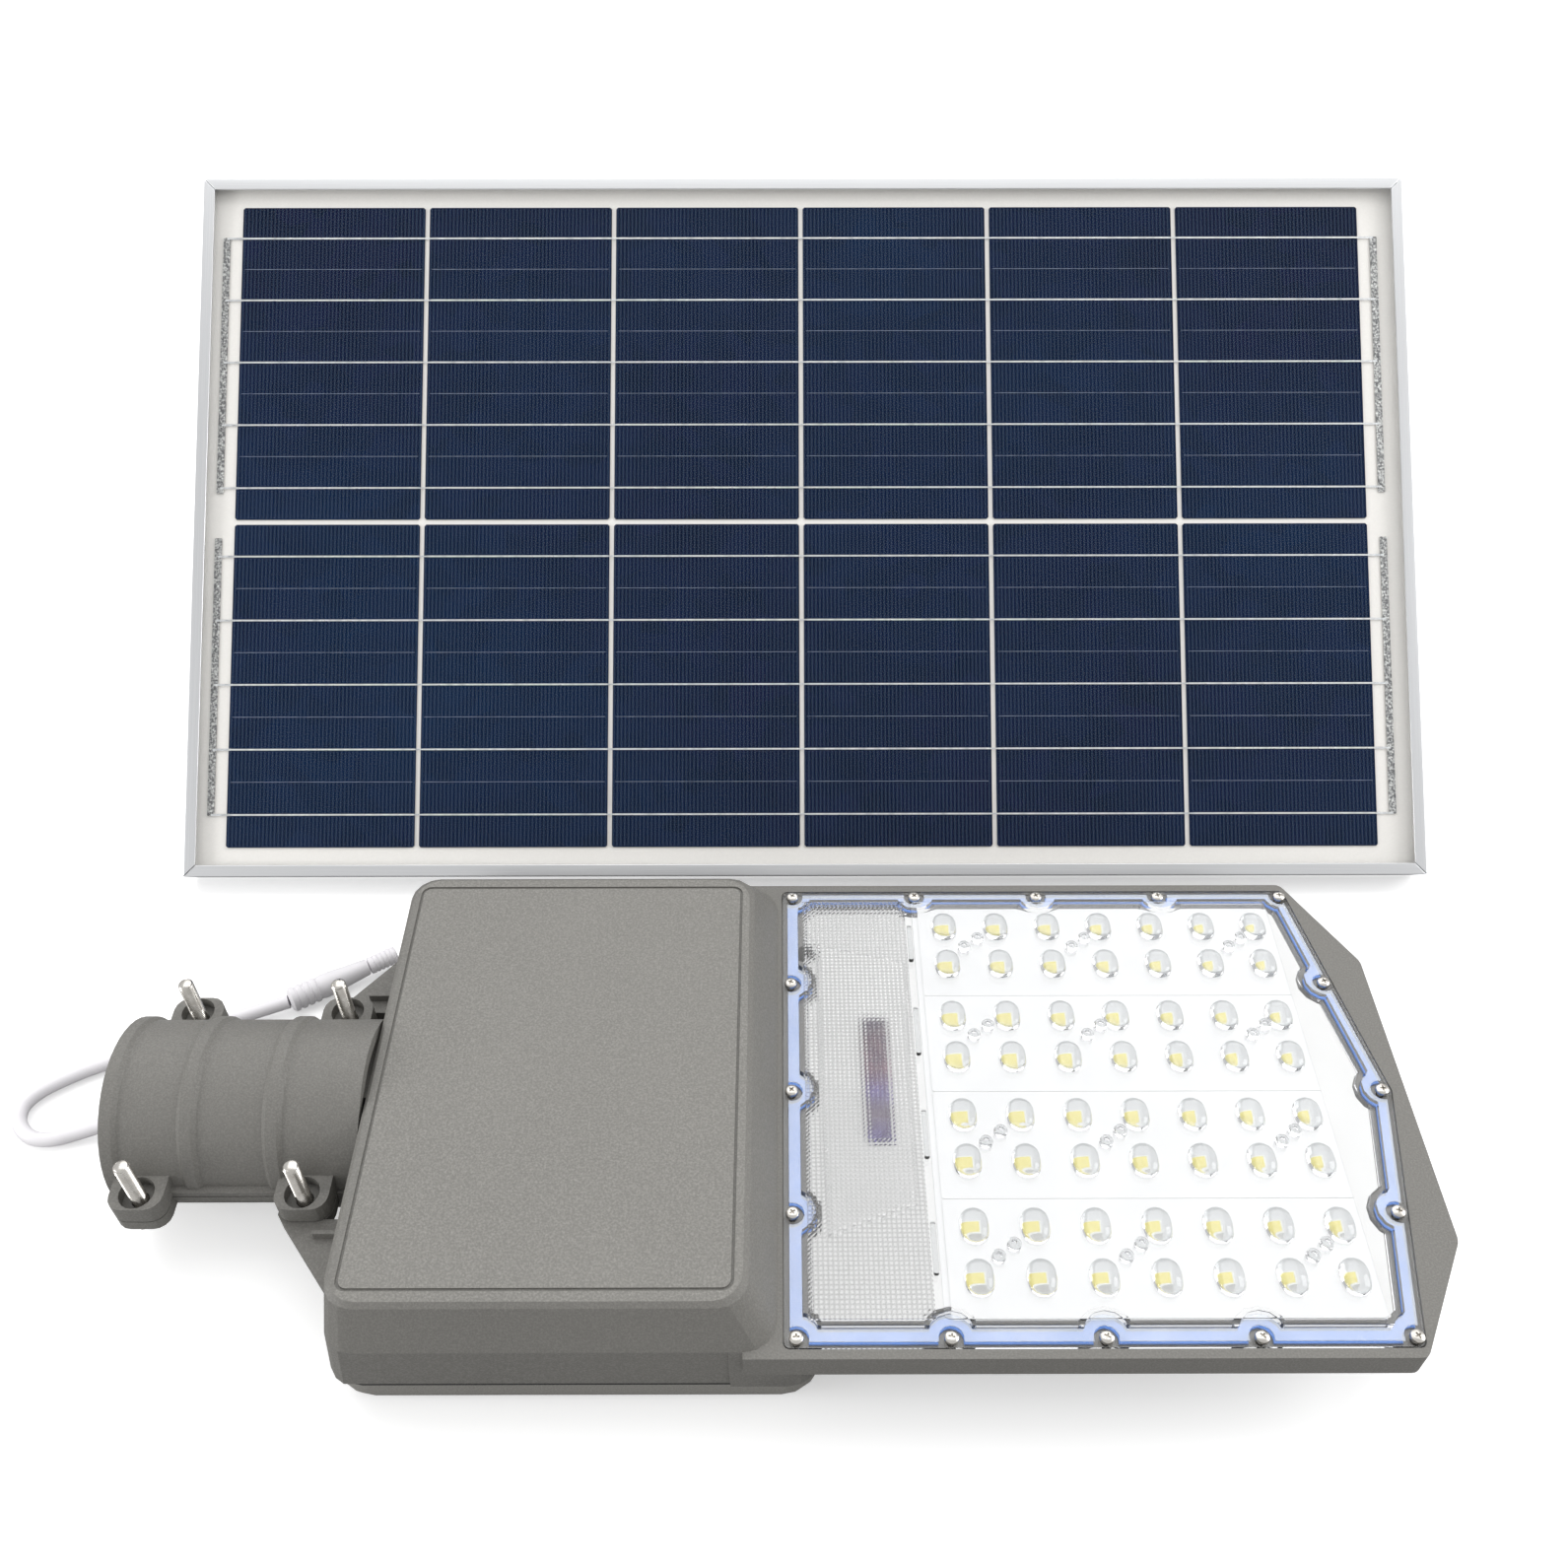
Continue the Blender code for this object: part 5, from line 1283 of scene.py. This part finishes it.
# ---------------------------------------------------------------- add-on
def colour(name, description, default):
    return bpy.props.FloatVectorProperty(name=name, description=description, subtype="COLOR", size=3,
                                         min=0.0, max=1.0, default=default)


def length(name, description, default):
    return bpy.props.FloatProperty(name=name, description=description, subtype="DISTANCE", unit="LENGTH",
                                   min=0.0, default=default)


class LampLooks(bpy.types.PropertyGroup):
    """Sizes and colours of the street lamp that a user would change"""
    paint: colour("Paint", "Colour of the cast housing's textured paint", (0.205, 0.199, 0.184))
    gasket: colour("Gasket", "Colour of the lens cover's silicone gasket", (0.050, 0.185, 0.60))
    board: colour("Board", "Colour of the LED board's solder mask", (0.71, 0.71, 0.70))
    lead: colour("Lead", "Colour of the lead and its connector", (0.95, 0.93, 0.96))
    cell: colour("Cells", "Main colour of the silicon cells", (0.0040, 0.0088, 0.031))
    backsheet: colour("Backsheet", "Colour of the sheet behind the cells", (0.90, 0.872, 0.835))
    edge: length("Edge rounding", "Radius of the rounding on the castings' edges", 0.0006)
    chip: length("LED size", "Side of one LED package", 0.0042)
    dome_width: length("Dome width", "Width of the clear dome over one LED", 0.0106)
    dome_length: length("Dome length", "Length of the clear dome over one LED", 0.0142)
    dome_height: length("Dome height", "Height of the clear dome over one LED", 0.0036)
    floor_size: length("Floor size", "Side of the studio floor", 60.0)
    air: bpy.props.FloatProperty(name="Room light", description="Strength of the even light from all round",
                                 min=0.0, default=0.68)
    key: bpy.props.FloatProperty(name="Key light", description="Power of the large soft light above and behind",
                                 subtype="POWER", min=0.0, default=34.0)
    fill: bpy.props.FloatProperty(name="Right light", description="Power of the soft light on the right",
                                  subtype="POWER", min=0.0, default=9.0)
    front: bpy.props.FloatProperty(name="Left light", description="Power of the soft light on the left",
                                   subtype="POWER", min=0.0, default=6.5)


class LAMP_OT_housing(bpy.types.Operator):
    """Build the cast head with its groove, coarse face and ribs"""
    bl_idname = "lamp.housing"
    bl_label = "Housing"
    bl_options = {"REGISTER", "UNDO"}

    def execute(self, context):
        build_housing(context.scene.lamp_looks)
        return {"FINISHED"}


class LAMP_OT_clamp_cap(bpy.types.Operator):
    """Build the cast cap of the pole clamp"""
    bl_idname = "lamp.clamp_cap"
    bl_label = "Clamp cap"
    bl_options = {"REGISTER", "UNDO"}

    def execute(self, context):
        build_clamp_cap(context.scene.lamp_looks)
        return {"FINISHED"}


class LAMP_OT_battery_cover(bpy.types.Operator):
    """Build the cover below the box and finish what is inside"""
    bl_idname = "lamp.battery_cover"
    bl_label = "Battery cover"
    bl_options = {"REGISTER", "UNDO"}

    def execute(self, context):
        build_battery_cover(context.scene.lamp_looks)
        return {"FINISHED"}


class LAMP_OT_board(bpy.types.Operator):
    """Build the LED modules, their LEDs and the sensor strip"""
    bl_idname = "lamp.board"
    bl_label = "LED board"
    bl_options = {"REGISTER", "UNDO"}

    def execute(self, context):
        build_board(context.scene.lamp_looks)
        return {"FINISHED"}


class LAMP_OT_lens_cover(bpy.types.Operator):
    """Build the clear cover with its domes, bosses and prism field"""
    bl_idname = "lamp.lens_cover"
    bl_label = "Lens cover"
    bl_options = {"REGISTER", "UNDO"}

    def execute(self, context):
        build_lens_cover(context.scene.lamp_looks)
        return {"FINISHED"}


class LAMP_OT_screws(bpy.types.Operator):
    """Build the cross-recessed screws of the lens cover and the battery cover"""
    bl_idname = "lamp.screws"
    bl_label = "Screws"
    bl_options = {"REGISTER", "UNDO"}

    def execute(self, context):
        build_lens_screws(context.scene.lamp_looks)
        build_cover_screws(context.scene.lamp_looks)
        return {"FINISHED"}


class LAMP_OT_clamp_bolts(bpy.types.Operator):
    """Build the four threaded clamp bolts"""
    bl_idname = "lamp.clamp_bolts"
    bl_label = "Clamp bolts"
    bl_options = {"REGISTER", "UNDO"}

    def execute(self, context):
        build_clamp_bolts(context.scene.lamp_looks)
        return {"FINISHED"}


class LAMP_OT_lead(bpy.types.Operator):
    """Build the lead, its gland boot and its connector"""
    bl_idname = "lamp.lead"
    bl_label = "Lead"
    bl_options = {"REGISTER", "UNDO"}

    def execute(self, context):
        build_lead(context.scene.lamp_looks)
        return {"FINISHED"}


class LAMP_OT_frame_rails(bpy.types.Operator):
    """Build the four anodised rails"""
    bl_idname = "lamp.frame_rails"
    bl_label = "Panel frame"
    bl_options = {"REGISTER", "UNDO"}

    def execute(self, context):
        build_frame_rails(context.scene.lamp_looks)
        return {"FINISHED"}


class LAMP_OT_laminate(bpy.types.Operator):
    """Build the cells, ribbons, bus bars, glass and backsheet"""
    bl_idname = "lamp.laminate"
    bl_label = "Cells"
    bl_options = {"REGISTER", "UNDO"}

    def execute(self, context):
        build_laminate(context.scene.lamp_looks)
        return {"FINISHED"}


class LAMP_OT_panel_back(bpy.types.Operator):
    """Build the junction box, the ears and the pivot bolts"""
    bl_idname = "lamp.panel_back"
    bl_label = "Panel back"
    bl_options = {"REGISTER", "UNDO"}

    def execute(self, context):
        build_panel_back(context.scene.lamp_looks)
        return {"FINISHED"}


class LAMP_OT_yoke(bpy.types.Operator):
    """Build the tilting yoke"""
    bl_idname = "lamp.yoke"
    bl_label = "Yoke"
    bl_options = {"REGISTER", "UNDO"}

    def execute(self, context):
        build_yoke(context.scene.lamp_looks)
        return {"FINISHED"}


class LAMP_OT_knobs(bpy.types.Operator):
    """Build the two star knobs"""
    bl_idname = "lamp.knobs"
    bl_label = "Knobs"
    bl_options = {"REGISTER", "UNDO"}

    def execute(self, context):
        build_knobs(context.scene.lamp_looks)
        return {"FINISHED"}


class LAMP_OT_stage(bpy.types.Operator):
    """Build the floor, the lights and the camera"""
    bl_idname = "lamp.stage"
    bl_label = "Studio"
    bl_options = {"REGISTER", "UNDO"}

    def execute(self, context):
        build_stage(context.scene.lamp_looks)
        return {"FINISHED"}


STEPS = (LAMP_OT_housing, LAMP_OT_clamp_cap, LAMP_OT_battery_cover, LAMP_OT_board,
         LAMP_OT_lens_cover, LAMP_OT_screws, LAMP_OT_clamp_bolts, LAMP_OT_lead,
         LAMP_OT_frame_rails, LAMP_OT_laminate, LAMP_OT_panel_back, LAMP_OT_yoke,
         LAMP_OT_knobs, LAMP_OT_stage)


class LAMP_PT_pieces(bpy.types.Panel):
    """The lamp's pieces in the order they are built"""
    bl_idname = "LAMP_PT_pieces"
    bl_label = "Solar Street Lamp"
    bl_space_type = "VIEW_3D"
    bl_region_type = "UI"
    bl_category = "Lamp"

    def draw(self, context):
        looks = context.scene.lamp_looks
        for piece in STEPS:
            self.layout.operator(piece.bl_idname)
        for field in LampLooks.__annotations__:
            self.layout.prop(looks, field)


def register():
    for kind in (LampLooks, *STEPS, LAMP_PT_pieces):
        bpy.utils.register_class(kind)
    bpy.types.Scene.lamp_looks = bpy.props.PointerProperty(type=LampLooks)


def unregister():
    del bpy.types.Scene.lamp_looks
    for kind in reversed((LampLooks, *STEPS, LAMP_PT_pieces)):
        bpy.utils.unregister_class(kind)


def main():
    register()
    for piece in STEPS:
        getattr(bpy.ops.lamp, piece.bl_idname.split(".")[1])()


if __name__ == "__main__":
    main()
